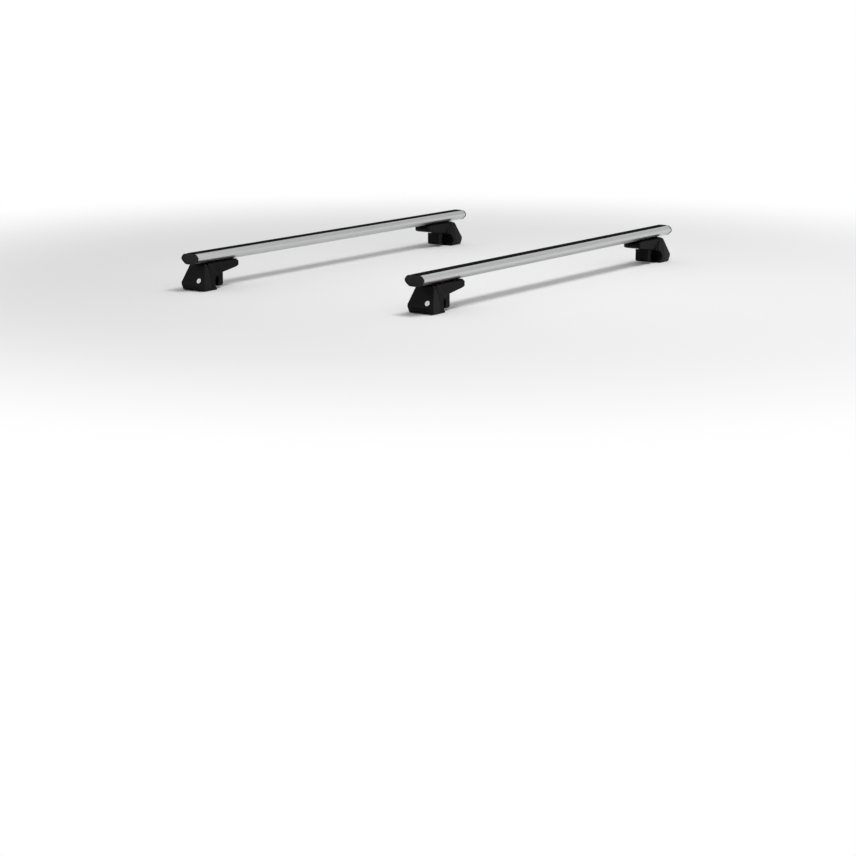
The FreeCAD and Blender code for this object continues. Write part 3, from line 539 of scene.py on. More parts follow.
def rod(name, start, end, radius, sides=64):
    """A round bar between two points."""
    way = Vector(end) - Vector(start)
    bpy.ops.object.select_all(action="DESELECT")
    bpy.ops.mesh.primitive_cylinder_add(
        vertices=sides, radius=radius, depth=way.length, location=(Vector(start) + Vector(end)) / 2,
        rotation=way.to_track_quat("Z", "Y").to_euler())
    piece = bpy.context.object
    piece.name = name
    bpy.ops.object.transform_apply(location=True, rotation=True, scale=True)
    return piece


def tube_seat():
    return rod("seat", (TUBE_X, -ACROSS, TUBE_Z), (TUBE_X, ACROSS, TUBE_Z), SEAT_RADIUS, SEAT_SIDES)


def along_bolt(name, start, end, radius, sides=64):
    """A rod on the bolt's axis."""
    return rod(name, (start, 0, BOLT_Z), (end, 0, BOLT_Z), radius, sides)


combine(leg, tube_seat())
gap_end = HOUSE_END + PAST
combine(leg, upright_blank("gap", [
    (LIP_REACH, -PAST), (gap_end, -PAST), (gap_end, under(gap_end)), (TUBE_X, under(TUBE_X)),
    (TUBE_X, TUBE_Z), (LIP_REACH, TUBE_Z)], ACROSS))
tunnel = both_sides([
    (TUNNEL_HALF, TUNNEL_HIGH), (TUNNEL_HALF, TUNNEL_LOW), (NECK_HALF, TUNNEL_LOW), (NECK_HALF, TUBE_Z)])
combine(leg, level_blank("tunnel", TUNNEL_START, tunnel, LIPS_END - TUNNEL_START))
keyhole = both_sides([(TUNNEL_HALF, TUNNEL_HIGH), (TUNNEL_HALF, TUBE_Z)])
combine(leg, level_blank("keyhole", LIPS_END - LAP, keyhole, KEYHOLE_END - LIPS_END))
combine(leg, along_bolt("bore", 0, TUNNEL_START + PAST, BORE))
print(count(leg))

# %% [markdown]
# The tongue of the lock turns in a square recess of the outer wall, which is as wide as its whole turn. The
# catch that would hold the tongue is left out, because nothing shows how it is made. Two holes in the beam
# take the screws of the slide key.

# %% Recess and screw holes
LOCK_LENGTH, TONGUE_REACH = 27 * MM, 11 * MM
RECESS_DEPTH, RECESS_PLAY = 6 * MM, 1 * MM
SCREW_PLACES, SCREW_HOLE, SCREW_DEPTH = (26 * MM, 54 * MM), 3.05 * MM, 9.3 * MM
HOLE_SIDES = 32
lock_joint = joints["front_right_lock_turn"]
lock_face = foot_place["front_right"].inverted() @ Vector(lock_joint["pos_m"])
lock_in = -Vector(lock_joint["axis"])
tongue_root = lock_face + lock_in * LOCK_LENGTH
room = TONGUE_REACH + RECESS_PLAY
recess = [(tongue_root.y + y, tongue_root.z + z) for y, z in both_sides([(room, room), (room, -room)])]
combine(leg, level_blank("recess", WALL - PAST, recess, RECESS_DEPTH + PAST))
for place in SCREW_PLACES:
    hole_floor = (place, 0, BODY_TOP - SCREW_DEPTH)
    combine(leg, rod("screw_hole", hole_floor, (place, 0, BODY_TOP + PAST), SCREW_HOLE, HOLE_SIDES))
print(count(leg))

# %% [markdown]
# Two small lugs stand out of the outer wall and hold the pin of the cover. Each is round about the pin and
# straight where it runs into the wall, so its outline is an arc with two ends. They join the body last, and
# then all edges of the moulding are softened together.

# %% Lugs
LUG_RADIUS, LUG_MIDDLE, LUG_HALF = 3.8 * MM, 12.5 * MM, 3.5 * MM
LUG_LOW, LUG_HIGH, LUG_STEPS = -90, 15, 12
PIN_HOLE, FOOT_EDGE = 1.8 * MM, 0.7 * MM


def round_hinge(radius, start, end, steps):
    """Points on a circle round the hinge, from one angle to another, in degrees."""
    turns = [math.radians(start + (end - start) * step / steps) for step in range(steps + 1)]
    return [(HINGE_X + radius * math.cos(turn), HINGE_Z + radius * math.sin(turn)) for turn in turns]


def pin_hole(reach):
    return rod("pin_hole", (HINGE_X, -reach, HINGE_Z), (HINGE_X, reach, HINGE_Z), PIN_HOLE, HOLE_SIDES)


lug_outline = [(beam_start, HINGE_Z - LUG_RADIUS)]
lug_outline += round_hinge(LUG_RADIUS, LUG_LOW, LUG_HIGH - 360, LUG_STEPS)
lug_outline += [(beam_start, HINGE_Z + LUG_RADIUS * math.sin(math.radians(LUG_HIGH)))]
for side in (1, -1):
    combine(leg, upright_blank("lug", lug_outline, LUG_HALF, side * LUG_MIDDLE), "UNION")
combine(leg, pin_hole(LUG_MIDDLE + 2 * LUG_HALF))
break_edges(leg, FOOT_EDGE)
on_feet(leg, "foot_body", "foot")

# %% [markdown]
# ## The cover
#
# The cover is a thin shell that hides the bolt. It hangs on a pin at its top edge, and its lower edge
# swings out when the lock is open. It starts as a solid block, which is easier to round than a shell: the
# sides are sliced to the leg's taper, and the belt line is bevelled as it is on the leg.

# %% Cover block
SEAM = 11.5 * MM
KNUCKLE, KNUCKLE_STEPS = 6.5 * MM, 16
SLOPE_DEGREES = 26
SLOPE = math.radians(SLOPE_DEGREES)
COVER_FOOT, COVER_SKIN, COVER_SIDE, COVER_TUCK = 1.5 * MM, 2.3 * MM, 2.6 * MM, 6 * MM


def face_x(z, radius=KNUCKLE):
    """Outer face of the cover at a height; a smaller radius gives its inside."""
    return HINGE_X - radius / math.cos(SLOPE) - (HINGE_Z - z) * math.tan(SLOPE)


def taper(piece, inset=0.0):
    """Slice a block's sides to the slopes of the leg, above and below its widest line."""
    for side in (1, -1):
        upper = (0, side * (BODY_TOP - WIDE_Z), LEG_WIDE - LEG_TOP)
        lower = (0, side * WIDE_Z, LEG_BASE - LEG_WIDE)
        slice_off(piece, (0, side * (LEG_WIDE - inset), WIDE_Z), upper)
        slice_off(piece, (0, side * (LEG_WIDE - inset), WIDE_Z), lower)


outer = [(SEAM, COVER_FOOT), (face_x(WIDE_Z) + COVER_TUCK, COVER_FOOT), (face_x(WIDE_Z), WIDE_Z)]
outer += round_hinge(KNUCKLE, 180 - SLOPE_DEGREES, 0, KNUCKLE_STEPS)
cover = upright_blank("lock_cover", outer, LEG_WIDE + PAST)
taper(cover)
round_off(cover, BELT, lambda a, b: near(a.z, WIDE_Z) and near(b.z, WIDE_Z)
          and not (near(a.x, SEAM) and near(b.x, SEAM)))
print(count(cover))

# %% [markdown]
# The edges where the outer face meets the sides are the ones that the eye follows. They bend over the belt
# line, so the test that picks them measures each point against the leg's width and the slope of the face,
# with some slack where the belt has already been rounded.

# %% Cover edges
COVER_EDGE = 3.5 * MM
SIDE_SLACK, FACE_SLACK, TOP_SLACK, END_SLACK = 0.6 * MM, 0.7 * MM, 0.2 * MM, 0.1 * MM
LEVEL = 0.01 * MM


def half_width(z):
    """Half the leg's width at a height, before the belt is rounded."""
    if z > WIDE_Z:
        return LEG_TOP + (BODY_TOP - z) * (LEG_WIDE - LEG_TOP) / (BODY_TOP - WIDE_Z)
    return LEG_BASE + z * (LEG_WIDE - LEG_BASE) / WIDE_Z


def on_corner(point):
    """On the line where the outer face or the round top meets a side."""
    on_side = near(abs(point.y), half_width(point.z), SIDE_SLACK)
    on_face = point.x < face_x(point.z) + FACE_SLACK or point.z > HINGE_Z - TOP_SLACK
    low_edge = point.z < WIDE_Z and point.x < face_x(WIDE_Z) + COVER_TUCK + END_SLACK
    return on_side and (on_face or low_edge) and point.x < SEAM + END_SLACK


round_off(cover, COVER_EDGE, lambda a, b: on_corner(a) and on_corner(b) and a.y * b.y > 0
          and not near(a.z, b.z, LEVEL))
print(count(cover))

# %% [markdown]
# From behind, the cover is hollow. A Solidify modifier could give it a wall, but the face and the sides
# differ in thickness, so a smaller block with the same slopes is cut out instead.

# %% Cover hollow
INNER_STEPS = 10
inner_radius = KNUCKLE - COVER_SKIN
inner = [
    (SEAM + PAST, COVER_FOOT + COVER_SKIN),
    (face_x(WIDE_Z, inner_radius) + COVER_TUCK, COVER_FOOT + COVER_SKIN),
    (face_x(WIDE_Z, inner_radius), WIDE_Z)]
inner += round_hinge(inner_radius, 180 - SLOPE_DEGREES, 90, INNER_STEPS)
inner += [(HINGE_X, BODY_TOP + PAST), (SEAM + PAST, BODY_TOP + PAST)]
hollow = upright_blank("hollow", inner, LEG_WIDE + PAST)
taper(hollow, COVER_SIDE)
combine(cover, hollow)
combine(cover, pin_hole(ACROSS))
print(count(cover))

# %% [markdown]
# The lock sits in a sleeve inside the cover. Outside, a low collar frames it, as on most moulded covers,
# and gives the eye a ring of light around the metal. All of it is round about one axis, so it is made from
# rods: two that are joined, and one that is cut out.

# %% Lock sleeve and collar
LOCK_RADIUS, LOCK_PLAY = 6.8 * MM, 0.05 * MM
SLEEVE_RADIUS, SLEEVE_LENGTH = 8.6 * MM, 20 * MM
COLLAR_RADIUS, COLLAR_HEIGHT = 8.2 * MM, 0.5 * MM
SHELL_EDGE = 0.4 * MM


def along_lock(name, start, end, radius, sides=64):
    """A rod on the lock's axis, from one depth behind its face to another."""
    return rod(name, lock_face + lock_in * start, lock_face + lock_in * end, radius, sides)


combine(cover, along_lock("sleeve", COVER_SKIN / 2, SLEEVE_LENGTH, SLEEVE_RADIUS), "UNION")
combine(cover, along_lock("collar", -COLLAR_HEIGHT, COVER_SKIN, COLLAR_RADIUS), "UNION")
combine(cover, along_lock("lock_hole", -COVER_SKIN, SLEEVE_LENGTH + PAST, LOCK_RADIUS + LOCK_PLAY))
break_edges(cover, SHELL_EDGE)
on_feet(cover, "lock_cover", "cover_flap")

# %% [markdown]
# ## The lock
#
# The lock is a short metal plug with a key slot. On a real foot the tongue at its back keeps the cover
# shut. The face is inset twice, which leaves a rim round a sunk disc, and the slot is cut through the disc.
# Plug and tongue are softened apart and then joined, because a bevel would tear the corner between them.

# %% Lock plug
TONGUE, TONGUE_HALF, TONGUE_LAP = 3 * MM, 3.5 * MM, 0.5 * MM
KEY_HALF, KEY_SIDE, KEY_DEPTH = 3.5 * MM, 0.9 * MM, 5 * MM
LOCK_RIM, LOCK_STEP, LOCK_SINK, LOCK_EDGE = 1.3 * MM, 0.3 * MM, 0.4 * MM, 0.3 * MM
LOCK_SIDES = 96
lock_up = Vector((-lock_in.z, 0, lock_in.x))
lock_across = Vector((0, 1, 0))


def lock_blank(name, depth, low, high, side, length):
    """A block square to the lock, from one depth behind its face to another."""
    start = lock_face + lock_in * depth
    corners = [start + lock_up * a + lock_across * b for a, b in (
        (low, -side), (high, -side), (high, side), (low, side))]
    return blank(name, corners, lock_in * length)


plug = along_lock("lock_plug", 0, LOCK_LENGTH, LOCK_RADIUS, LOCK_SIDES)
pick(plug, "FACE", lambda centre, normal: normal.dot(lock_in) < -FACING)
bpy.ops.mesh.inset(thickness=LOCK_RIM, depth=0)
bpy.ops.mesh.inset(thickness=LOCK_STEP, depth=-LOCK_SINK)
leave_edit()
combine(plug, lock_blank("key_slot", -PAST, -KEY_HALF, KEY_HALF, KEY_SIDE, KEY_DEPTH + PAST))
break_edges(plug, LOCK_EDGE)
tongue = lock_blank("tongue", LOCK_LENGTH - TONGUE_LAP, -TONGUE_HALF, TONGUE_REACH, TONGUE_HALF,
                    TONGUE + TONGUE_LAP)
break_edges(tongue, LOCK_EDGE)
combine(plug, tongue, "UNION")
shade(plug)
on_feet(plug, "lock_plug", "lock_barrel")

# %% [markdown]
# ## The claw
#
# The claw hangs from a block in the tunnel and reaches under the tube. Its lower inner edge and its upright
# inner edges have large roundings, so that nothing catches on them. Hook, neck and block are blanks that
# are joined, and the same cutter that made the foot's seat gives the hook its round.

# %% Claw
CLAW_FOOT, CLAW_BACK, CLAW_BROW, CLAW_HALF = 6 * MM, 80 * MM, 59 * MM, 20 * MM
CLAW_START, CLAW_END, CLAW_PLAY, CLAW_LIFT = 65 * MM, 88 * MM, 0.5 * MM, 0.3 * MM
CLAW_HEEL, HEEL_STEPS, CLAW_UPRIGHT, CLAW_EDGE = 7 * MM, 8, 4 * MM, 0.5 * MM
NUT_HALF, NUT_LENGTH = 5.15 * MM, 5.3 * MM


def rectangle(left, right, low, high):
    """An upright rectangle as x and z."""
    return [(left, low), (right, low), (right, high), (left, high)]


def on_back(a, b):
    """Whether the edge between two points lies on the claw's back."""
    return near(a.x, CLAW_BACK) and near(b.x, CLAW_BACK)


claw = upright_blank("claw", [
    (TUBE_X, CLAW_FOOT), (CLAW_BACK, CLAW_FOOT), (CLAW_BACK, under(CLAW_BACK) - 2 * CLAW_PLAY),
    (CLAW_BROW, under(CLAW_BROW) - 2 * CLAW_PLAY), (CLAW_BROW, TUBE_Z), (TUBE_X, TUBE_Z)], CLAW_HALF)
round_off(claw, CLAW_HEEL, lambda a, b: on_back(a, b) and near(a.z, CLAW_FOOT) and near(b.z, CLAW_FOOT),
          HEEL_STEPS)
round_off(claw, CLAW_UPRIGHT, lambda a, b: on_back(a, b) and near(a.y, b.y))
neck = rectangle(CLAW_START, CLAW_BACK - PAST, TUBE_Z, TUNNEL_LOW + CLAW_PLAY)
combine(claw, upright_blank("neck", neck, NECK_HALF - CLAW_PLAY), "UNION")
block = rectangle(CLAW_START, CLAW_END, TUNNEL_LOW + CLAW_LIFT, TUNNEL_HIGH - CLAW_PLAY)
combine(claw, upright_blank("block", block, TUNNEL_HALF - CLAW_PLAY), "UNION")
combine(claw, tube_seat())
nut_x = (CLAW_START + CLAW_BACK - NUT_LENGTH) / 2
pocket = rectangle(nut_x, nut_x + NUT_LENGTH, BOLT_Z - NUT_HALF, TUNNEL_HIGH + PAST)
combine(claw, upright_blank("nut_pocket", pocket, NUT_HALF))
combine(claw, along_bolt("bore", CLAW_START - PAST, CLAW_END + PAST, BORE))
break_edges(claw, CLAW_EDGE)
on_feet(claw, "claw", "claw_slider")

# %% [markdown]
# ## The rubber linings
#
# Seat and claw are lined with rubber. Grooves along the tube give it grip. Both linings are the same ring
# outline between two angles, so one function draws both: the inner line steps in and out at each groove.

# %% Ribbed linings
TUBE_RADIUS, LINING_GROOVE, LINING_PLAY = 16 * MM, 0.9 * MM, 0.05 * MM
RIB_DEGREES, GROOVE_DEGREES, ARC_DEGREES, LINING_SHARP_DEGREES = 9, 3, 5, 20
SEAT_LINING, SEAT_LINING_HALF = (84, 232), 25 * MM
CLAW_LINING, CLAW_LINING_HALF = (-36, 32), 19 * MM
groove_radius = TUBE_RADIUS + LINING_GROOVE
outer_radius = SEAT_RADIUS - LINING_PLAY


def lining(name, low, high, half):
    """Rubber between two angles round the tube, in degrees, with a grooved inner face."""
    ribs = round((high - low) / (RIB_DEGREES + GROOVE_DEGREES))
    step = (high - low + GROOVE_DEGREES) / ribs
    inner_line = []
    for rib in range(ribs):
        start = low + rib * step
        end = start + step - GROOVE_DEGREES
        inner_line += [(TUBE_RADIUS, start), (TUBE_RADIUS, (start + end) / 2), (TUBE_RADIUS, end)]
        if rib < ribs - 1:
            inner_line += [(groove_radius, end), (groove_radius, end + GROOVE_DEGREES)]
    arc_steps = round((high - low) / ARC_DEGREES)
    outer_line = [(outer_radius, high + (low - high) * k / arc_steps) for k in range(arc_steps + 1)]
    outline = []
    for radius, angle in inner_line + outer_line:
        turn = math.radians(angle)
        outline.append((TUBE_X + radius * math.cos(turn), TUBE_Z + radius * math.sin(turn)))
    piece = upright_blank(name, outline, half)
    shade(piece, LINING_SHARP_DEGREES)
    return piece


on_feet(lining("rail_pad", *SEAT_LINING, SEAT_LINING_HALF), "rail_pad", "foot")
on_feet(lining("claw_pad", *CLAW_LINING, CLAW_LINING_HALF), "claw_pad", "claw_slider")

# %% [markdown]
# ## The bolt
#
# The bolt shows when a cover is open: a flange that presses on the wall, a round head with a six-sided
# socket, and a long shank. A turned part is a row of rods on one axis, so it is joined from rods.

# %% Bolt
BOLT_END, BOLT_CORE, BOLT_CREST, BOLT_EDGE = 96 * MM, 2.6 * MM, 3.0 * MM, 0.15 * MM
FLANGE, FLANGE_RADIUS = 1.8 * MM, 7 * MM
HEAD, HEAD_RADIUS = 6 * MM, 5 * MM
SOCKET, SOCKET_DEPTH, SOCKET_SIDES = 5 * MM, 4 * MM, 6
THREAD_START, THREAD_PITCH = 60 * MM, 1 * MM
flange_x = WALL - FLANGE
head_x = flange_x - HEAD
socket_radius = SOCKET / 2 / math.cos(math.pi / SOCKET_SIDES)
bolt = along_bolt("tension_bolt", flange_x, BOLT_END, BOLT_CORE)
combine(bolt, along_bolt("flange", flange_x, WALL, FLANGE_RADIUS), "UNION")
combine(bolt, along_bolt("head", head_x, flange_x + FLANGE / 2, HEAD_RADIUS), "UNION")
combine(bolt, along_bolt("socket", head_x - PAST, head_x + SOCKET_DEPTH, socket_radius, SOCKET_SIDES))
combine(bolt, along_bolt("plain_shank", WALL, THREAD_START, BOLT_CREST), "UNION")
break_edges(bolt, BOLT_EDGE)
print(count(bolt))

# %% [markdown]
# The thread is a small triangle that the Screw modifier winds round the shank, one turn for each
# millimetre, which is how far the claw moves with a turn. It starts a little inside the shank, so no gap
# shows, and it stays a closed shell of its own: a Boolean over so many turns would be slow.

# %% Thread
THREAD_ROOT, THREAD_FILL, THREAD_STEPS, THREAD_SHARP_DEGREES = 0.1 * MM, 0.96, 20, 30
thread_foot = BOLT_CORE - THREAD_ROOT
bpy.ops.object.select_all(action="DESELECT")
bpy.ops.mesh.primitive_circle_add(vertices=3, fill_type="NOTHING", location=(THREAD_START, 0, BOLT_Z))
thread = bpy.context.object
triangle = (
    (0, 0, thread_foot), (THREAD_PITCH / 2, 0, BOLT_CREST), (THREAD_PITCH * THREAD_FILL, 0, thread_foot))
for point, corner in zip(thread.data.vertices, triangle):
    point.co = corner
turns = int((BOLT_END - THREAD_START) / THREAD_PITCH) - 1
modify(thread, "SCREW", axis="X", screw_offset=THREAD_PITCH, iterations=turns, steps=THREAD_STEPS,
       render_steps=THREAD_STEPS)
bpy.ops.object.transform_apply(location=True, rotation=True, scale=True)
pick(thread, "FACE", everything)
bpy.ops.mesh.fill_holes(sides=3)
bpy.ops.mesh.select_all(action="SELECT")
bpy.ops.mesh.normals_make_consistent(inside=False)
leave_edit()
shade(thread, THREAD_SHARP_DEGREES)
make_active(bolt)
thread.select_set(True)
bpy.ops.object.join()
on_feet(bolt, "tension_bolt", "bolt_screw")

# %% [markdown]
# ## Finishes
#
# Each finish is a small node tree on Object coordinates, so a pattern keeps its size on every piece. The
# grain is bump, the clouding is colour and roughness, and numbers that hold all over are set on the shader.

# %% Nodes in few words
NOISE_LOW, NOISE_HIGH = 0.3, 0.7


def new_finish(name, **sockets):
    finish = bpy.data.materials.new(name)
    finish.use_nodes = True
    shader = finish.node_tree.nodes["Principled BSDF"]
    for socket, value in sockets.items():
        shader.inputs[socket.replace("_", " ")].default_value = value
    return finish


def add_node(finish, kind, **values):
    node = finish.node_tree.nodes.new(kind)
    for socket, value in values.items():
        node.inputs[socket.replace("_", " ")].default_value = value
    return node


def link(finish, start, end):
    finish.node_tree.links.new(start, end)


def to_shader(finish, output, socket):
    link(finish, output, finish.node_tree.nodes["Principled BSDF"].inputs[socket])


def noise_on(finish, stretch, detail=3.0):
    """A noise pattern on Object coordinates; stretch says how fine it is along each axis, per metre."""
    place = add_node(finish, "ShaderNodeTexCoord")
    mapping = add_node(finish, "ShaderNodeMapping", Scale=stretch)
    noise = add_node(finish, "ShaderNodeTexNoise", Scale=1.0, Detail=detail)
    link(finish, place.outputs["Object"], mapping.inputs["Vector"])
    link(finish, mapping.outputs["Vector"], noise.inputs["Vector"])
    return noise.outputs["Fac"]


def spread(finish, pattern, low, high):
    """The pattern as a number between two limits."""
    limits = add_node(finish, "ShaderNodeMapRange", From_Min=NOISE_LOW, From_Max=NOISE_HIGH, To_Min=low,
                      To_Max=high)
    link(finish, pattern, limits.inputs["Value"])
    return limits.outputs["Result"]


def two_tones(finish, pattern, dark, light):
    ramp = add_node(finish, "ShaderNodeValToRGB")
    for element, place, colour in zip(ramp.color_ramp.elements, (NOISE_LOW, NOISE_HIGH), (dark, light)):
        element.position = place
        element.color = (*colour, 1)
    link(finish, pattern, ramp.inputs["Fac"])
    return ramp.outputs["Color"]


def emboss(finish, pattern, strength, height):
    bump = add_node(finish, "ShaderNodeBump", Strength=strength, Distance=height)
    link(finish, pattern, bump.inputs["Height"])
    to_shader(finish, bump.outputs["Normal"], "Normal")


# %% [markdown]
# Drawn aluminium carries fine lines along its length, which anodising dulls but doesn't hide. So its noise
# is stretched a few hundredfold along the bar. Steel and the matt nickel of the locks get a fine even grain
# instead. The nickel's pale coat is painted reflection, the white glare of bright metal set as colour,
# because a full metal would show only the grey around it.

# %% Metals
SATIN_STRENGTH = 0.12


def satin_metal(name, dark, light, rough, stretch, relief, metal=1.0):
    finish = new_finish(name, Metallic=metal)
    lines = noise_on(finish, stretch)
    to_shader(finish, two_tones(finish, lines, dark, light), "Base Color")
    to_shader(finish, spread(finish, lines, *rough), "Roughness")
    emboss(finish, lines, SATIN_STRENGTH, relief)
    return finish


anodised = satin_metal(
    "anodised_aluminium", dark=(0.55, 0.555, 0.56), light=(0.66, 0.665, 0.67), rough=(0.3, 0.42),
    stretch=(4, 1500, 1500), relief=0.05 * MM)
zinc = satin_metal(
    "zinc_steel", dark=(0.42, 0.42, 0.41), light=(0.6, 0.6, 0.58), rough=(0.3, 0.5),
    stretch=(300, 300, 300), relief=0.05 * MM)
# The locks' pale, nearly non-metal base colour is painted reflection: it stands in for the glare of bright metal.
pale_nickel_painted_reflection = satin_metal(
    "nickel_painted_reflection", dark=(0.9, 0.9, 0.89), light=(0.95, 0.95, 0.94), rough=(0.3, 0.42),
    stretch=(900, 900, 900), relief=0.02 * MM, metal=0.12)
print("metals:", anodised.name, zinc.name, pale_nickel_painted_reflection.name)

# %% [markdown]
# The feet are moulded in black plastic with a fine eroded grain, the covers in the same plastic with a
# smoother face, and the end caps in a glossier one, so that their rims catch the light. The strips and
# linings are rubber, which is duller still.

# %% Plastics and rubber
CLOUDS, GRAIN_STRENGTH = (40, 40, 40), 0.25


def moulded(name, dark, light, rough, grain, relief, gloss):
    finish = new_finish(name, Specular_IOR_Level=gloss)
    clouds = noise_on(finish, CLOUDS)
    to_shader(finish, two_tones(finish, clouds, dark, light), "Base Color")
    to_shader(finish, spread(finish, clouds, *rough), "Roughness")
    emboss(finish, noise_on(finish, (grain, grain, grain)), GRAIN_STRENGTH, relief)
    return finish


grained_plastic = moulded(
    "grained_plastic", dark=(0.003, 0.003, 0.0035), light=(0.006, 0.006, 0.0065), rough=(0.45, 0.55),
    grain=1600, relief=0.12 * MM, gloss=0.075)
cover_plastic = moulded(
    "cover_plastic", dark=(0.003, 0.003, 0.0035), light=(0.006, 0.006, 0.0065), rough=(0.36, 0.46),
    grain=2200, relief=0.06 * MM, gloss=0.11)
cap_plastic = moulded(
    "cap_plastic", dark=(0.004, 0.004, 0.0045), light=(0.008, 0.008, 0.0085), rough=(0.28, 0.38),
    grain=1600, relief=0.06 * MM, gloss=0.2)
rubber = moulded(
    "black_rubber", dark=(0.003, 0.003, 0.003), light=(0.006, 0.006, 0.006), rough=(0.7, 0.85),
    grain=900, relief=0.1 * MM, gloss=0.012)
print("plastics:", grained_plastic.name, cover_plastic.name, cap_plastic.name, rubber.name)

# %% [markdown]
# The record names a material slot for each piece, and most finishes follow it. Covers and caps have a
# finish of their own. A piece that keeps its plain form gets the finish on its own node.

# %% Finish every piece
SLOT_FINISH = {"aluminium": anodised, "rubber": rubber, "black_plastic": grained_plastic, "steel": zinc,
               "lock_metal": pale_nickel_painted_reflection}
OWN_FINISH = {"_lock_cover": cover_plastic, "_cap": cap_plastic}


def cover_with(piece, finish):
    piece.data.materials.clear()
    piece.data.materials.append(finish)


for part in frame["record"]["subparts"]:
    node = part["node"]
    piece = finished.get(node, frame["nodes"][node])
    finish = SLOT_FINISH[part["material_slot"]]
    for ending, own in OWN_FINISH.items():
        finish = own if node.endswith(ending) else finish
    cover_with(piece, finish)

# %% [markdown]
# ## Studio
#
# The pair stands on a pale floor, an ordinary matt surface that keeps the shadow. It is only a stage, so it
# lies a hair below the feet and rides on no body.

# %% Floor
FLOOR_SIZE, FLOOR_GAP = 200, 0.2 * MM
FLOOR_COLOUR = (0.82, 0.82, 0.82, 1)
bpy.ops.object.select_all(action="DESELECT")
bpy.ops.mesh.primitive_plane_add(size=FLOOR_SIZE, location=(0, 0, -FLOOR_GAP))
floor = bpy.context.object
floor.name = "studio_floor"
floor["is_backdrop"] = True
floor_finish = new_finish("studio_floor", Base_Color=FLOOR_COLOUR, Roughness=0.9, Specular_IOR_Level=0.0)
cover_with(floor, floor_finish)
print("floor:", FLOOR_SIZE, "m wide")

# %% [markdown]
# Further out the floor turns to plain white for the camera and for reflections, so no horizon shows. A
# Light Path node tells which rays those are, and the distance from the middle tells how white it is there.

# %% Floor turns white
FADE_START, FADE_END = 0.8, 2.3


def seen_directly(finish):
    """1 for rays from the camera and for reflected or refracted ones, 0 for the rest."""
    rays = add_node(finish, "ShaderNodeLightPath")
    total = rays.outputs["Is Camera Ray"]
    for kind in ("Is Glossy Ray", "Is Transmission Ray"):
        either = add_node(finish, "ShaderNodeMath")
        either.operation = "MAXIMUM"
        link(finish, total, either.inputs[0])
        link(finish, rays.outputs[kind], either.inputs[1])
        total = either.outputs[0]
    return total


floor_nodes = floor_finish.node_tree.nodes
distance = add_node(floor_finish, "ShaderNodeVectorMath")
distance.operation = "LENGTH"
fade = add_node(floor_finish, "ShaderNodeMapRange", From_Min=FADE_START, From_Max=FADE_END)
fade.interpolation_type = "SMOOTHSTEP"
share = add_node(floor_finish, "ShaderNodeMath")
share.operation = "MULTIPLY"
white = add_node(floor_finish, "ShaderNodeEmission", Color=(1, 1, 1, 1), Strength=1.0)
mix = add_node(floor_finish, "ShaderNodeMixShader")
link(floor_finish, add_node(floor_finish, "ShaderNodeTexCoord").outputs["Object"], distance.inputs[0])
link(floor_finish, distance.outputs["Value"], fade.inputs["Value"])
link(floor_finish, fade.outputs["Result"], share.inputs[0])
link(floor_finish, seen_directly(floor_finish), share.inputs[1])
link(floor_finish, share.outputs[0], mix.inputs["Fac"])
link(floor_finish, floor_nodes["Principled BSDF"].outputs["BSDF"], mix.inputs[1])
link(floor_finish, white.outputs["Emission"], mix.inputs[2])
link(floor_finish, mix.outputs["Shader"], floor_nodes["Material Output"].inputs["Surface"])
print("floor turns white from", FADE_START, "to", FADE_END, "m")

# %% [markdown]
# The studio itself is the world: white around the horizon, a little less so on one side, and greyer
# overhead. Satin metal shows those tones as bands along the bar. A picture of a studio could do the same,
# but a few nodes keep every tone within reach.

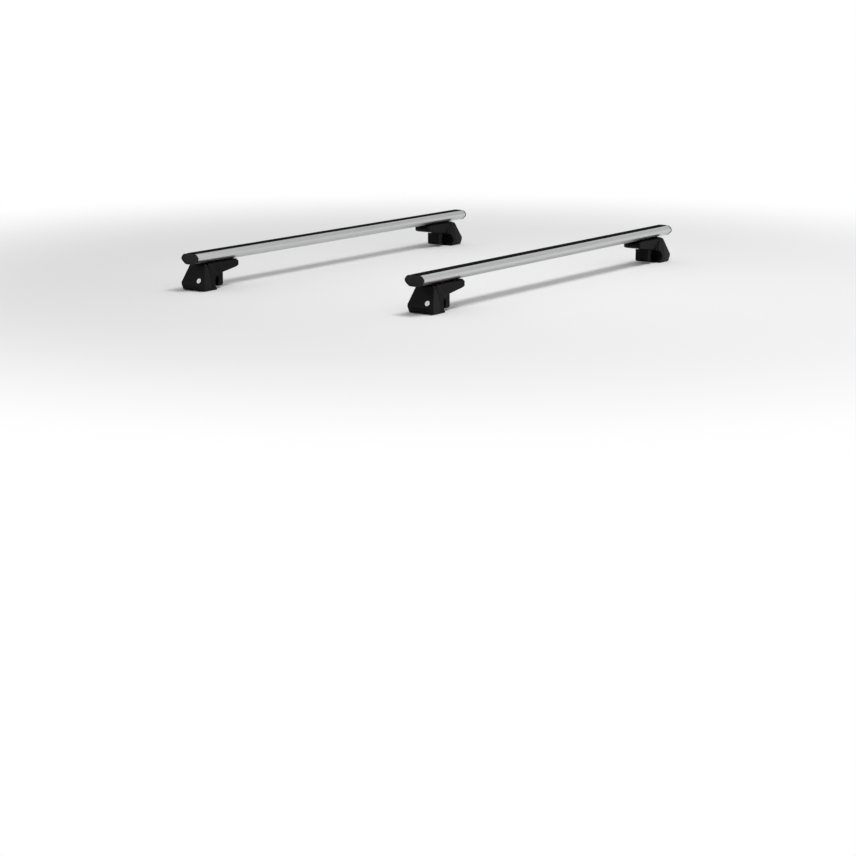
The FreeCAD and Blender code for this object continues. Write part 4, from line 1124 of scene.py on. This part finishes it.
# %% World
BRIGHT_SIDE = Vector((0.83, 0.55, 0))
DULL, BRIGHT = 0.82, 1.06
SKY_LOW, SKY_HIGH, HORIZON, OVERHEAD = 0.05, 0.95, 1.0, 0.35
world = bpy.data.worlds.new("studio")
bpy.context.scene.world = world
world.use_nodes = True
background = world.node_tree.nodes["Background"]
background.inputs["Color"].default_value = (1, 1, 1, 1)
direction = add_node(world, "ShaderNodeTexCoord").outputs["Generated"]
height = add_node(world, "ShaderNodeSeparateXYZ")
upward = add_node(world, "ShaderNodeMapRange", From_Min=SKY_LOW, From_Max=SKY_HIGH, To_Min=HORIZON,
                  To_Max=OVERHEAD)
toward = add_node(world, "ShaderNodeVectorMath")
toward.operation = "DOT_PRODUCT"
toward.inputs[1].default_value = BRIGHT_SIDE
sideways = add_node(world, "ShaderNodeMapRange", From_Min=-1.0, From_Max=1.0, To_Min=DULL, To_Max=BRIGHT)
level = add_node(world, "ShaderNodeMath")
level.operation = "MULTIPLY"
link(world, direction, height.inputs[0])
link(world, height.outputs["Z"], upward.inputs["Value"])
link(world, direction, toward.inputs[0])
link(world, toward.outputs["Value"], sideways.inputs["Value"])
link(world, upward.outputs["Result"], level.inputs[0])
link(world, sideways.outputs["Result"], level.inputs[1])
link(world, level.outputs[0], background.inputs["Strength"])
print("world:", HORIZON, "at the horizon,", OVERHEAD, "overhead, times", DULL, "to", BRIGHT, "sideways")

# %% [markdown]
# One soft lamp above gives the shadow. A smaller lamp would draw its edge too hard. The camera's place and
# lens come from a fit to the eight ends of the bars in the photograph.

# %% Lamp and camera
LAMP_PLACE, LAMP_SIZE, LAMP_WATTS = (0.0, -0.9, 2.9), 1.0, 50
CAMERA_PLACE = (-4.932, -3.328, 0.8305)
CAMERA_DOWN, CAMERA_TURN = math.radians(12.0), math.radians(-55.7)
CAMERA_LENS, CAMERA_SENSOR = 91.2, 36
bpy.ops.object.light_add(type="AREA", location=LAMP_PLACE)
lamp = bpy.context.object
lamp.rotation_euler = (-lamp.location).to_track_quat("-Z", "Y").to_euler()
lamp.data.size = LAMP_SIZE
lamp.data.energy = LAMP_WATTS
bpy.ops.object.camera_add(location=CAMERA_PLACE, rotation=(math.pi / 2 - CAMERA_DOWN, 0, CAMERA_TURN))
camera = bpy.context.object
camera.data.lens = CAMERA_LENS
camera.data.sensor_width = CAMERA_SENSOR
camera.data.clip_end = 2 * FLOOR_SIZE
bpy.context.scene.camera = camera
bpy.context.scene.view_settings.view_transform = "Standard"
print("lamp of", LAMP_WATTS, "W, camera at", CAMERA_PLACE)

# %% [markdown]
# ## Last look at the sizes
#
# Both boxes, the frame's and the finished scene's, are printed before the lesson ends.
# Nothing here may outgrow the frame.

# %% Sizes and finish
visual_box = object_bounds()
for word, box in (("cad", cad_box), ("visual", visual_box)):
    print(word, "box", [[round(value, 4) for value in corner] for corner in box])
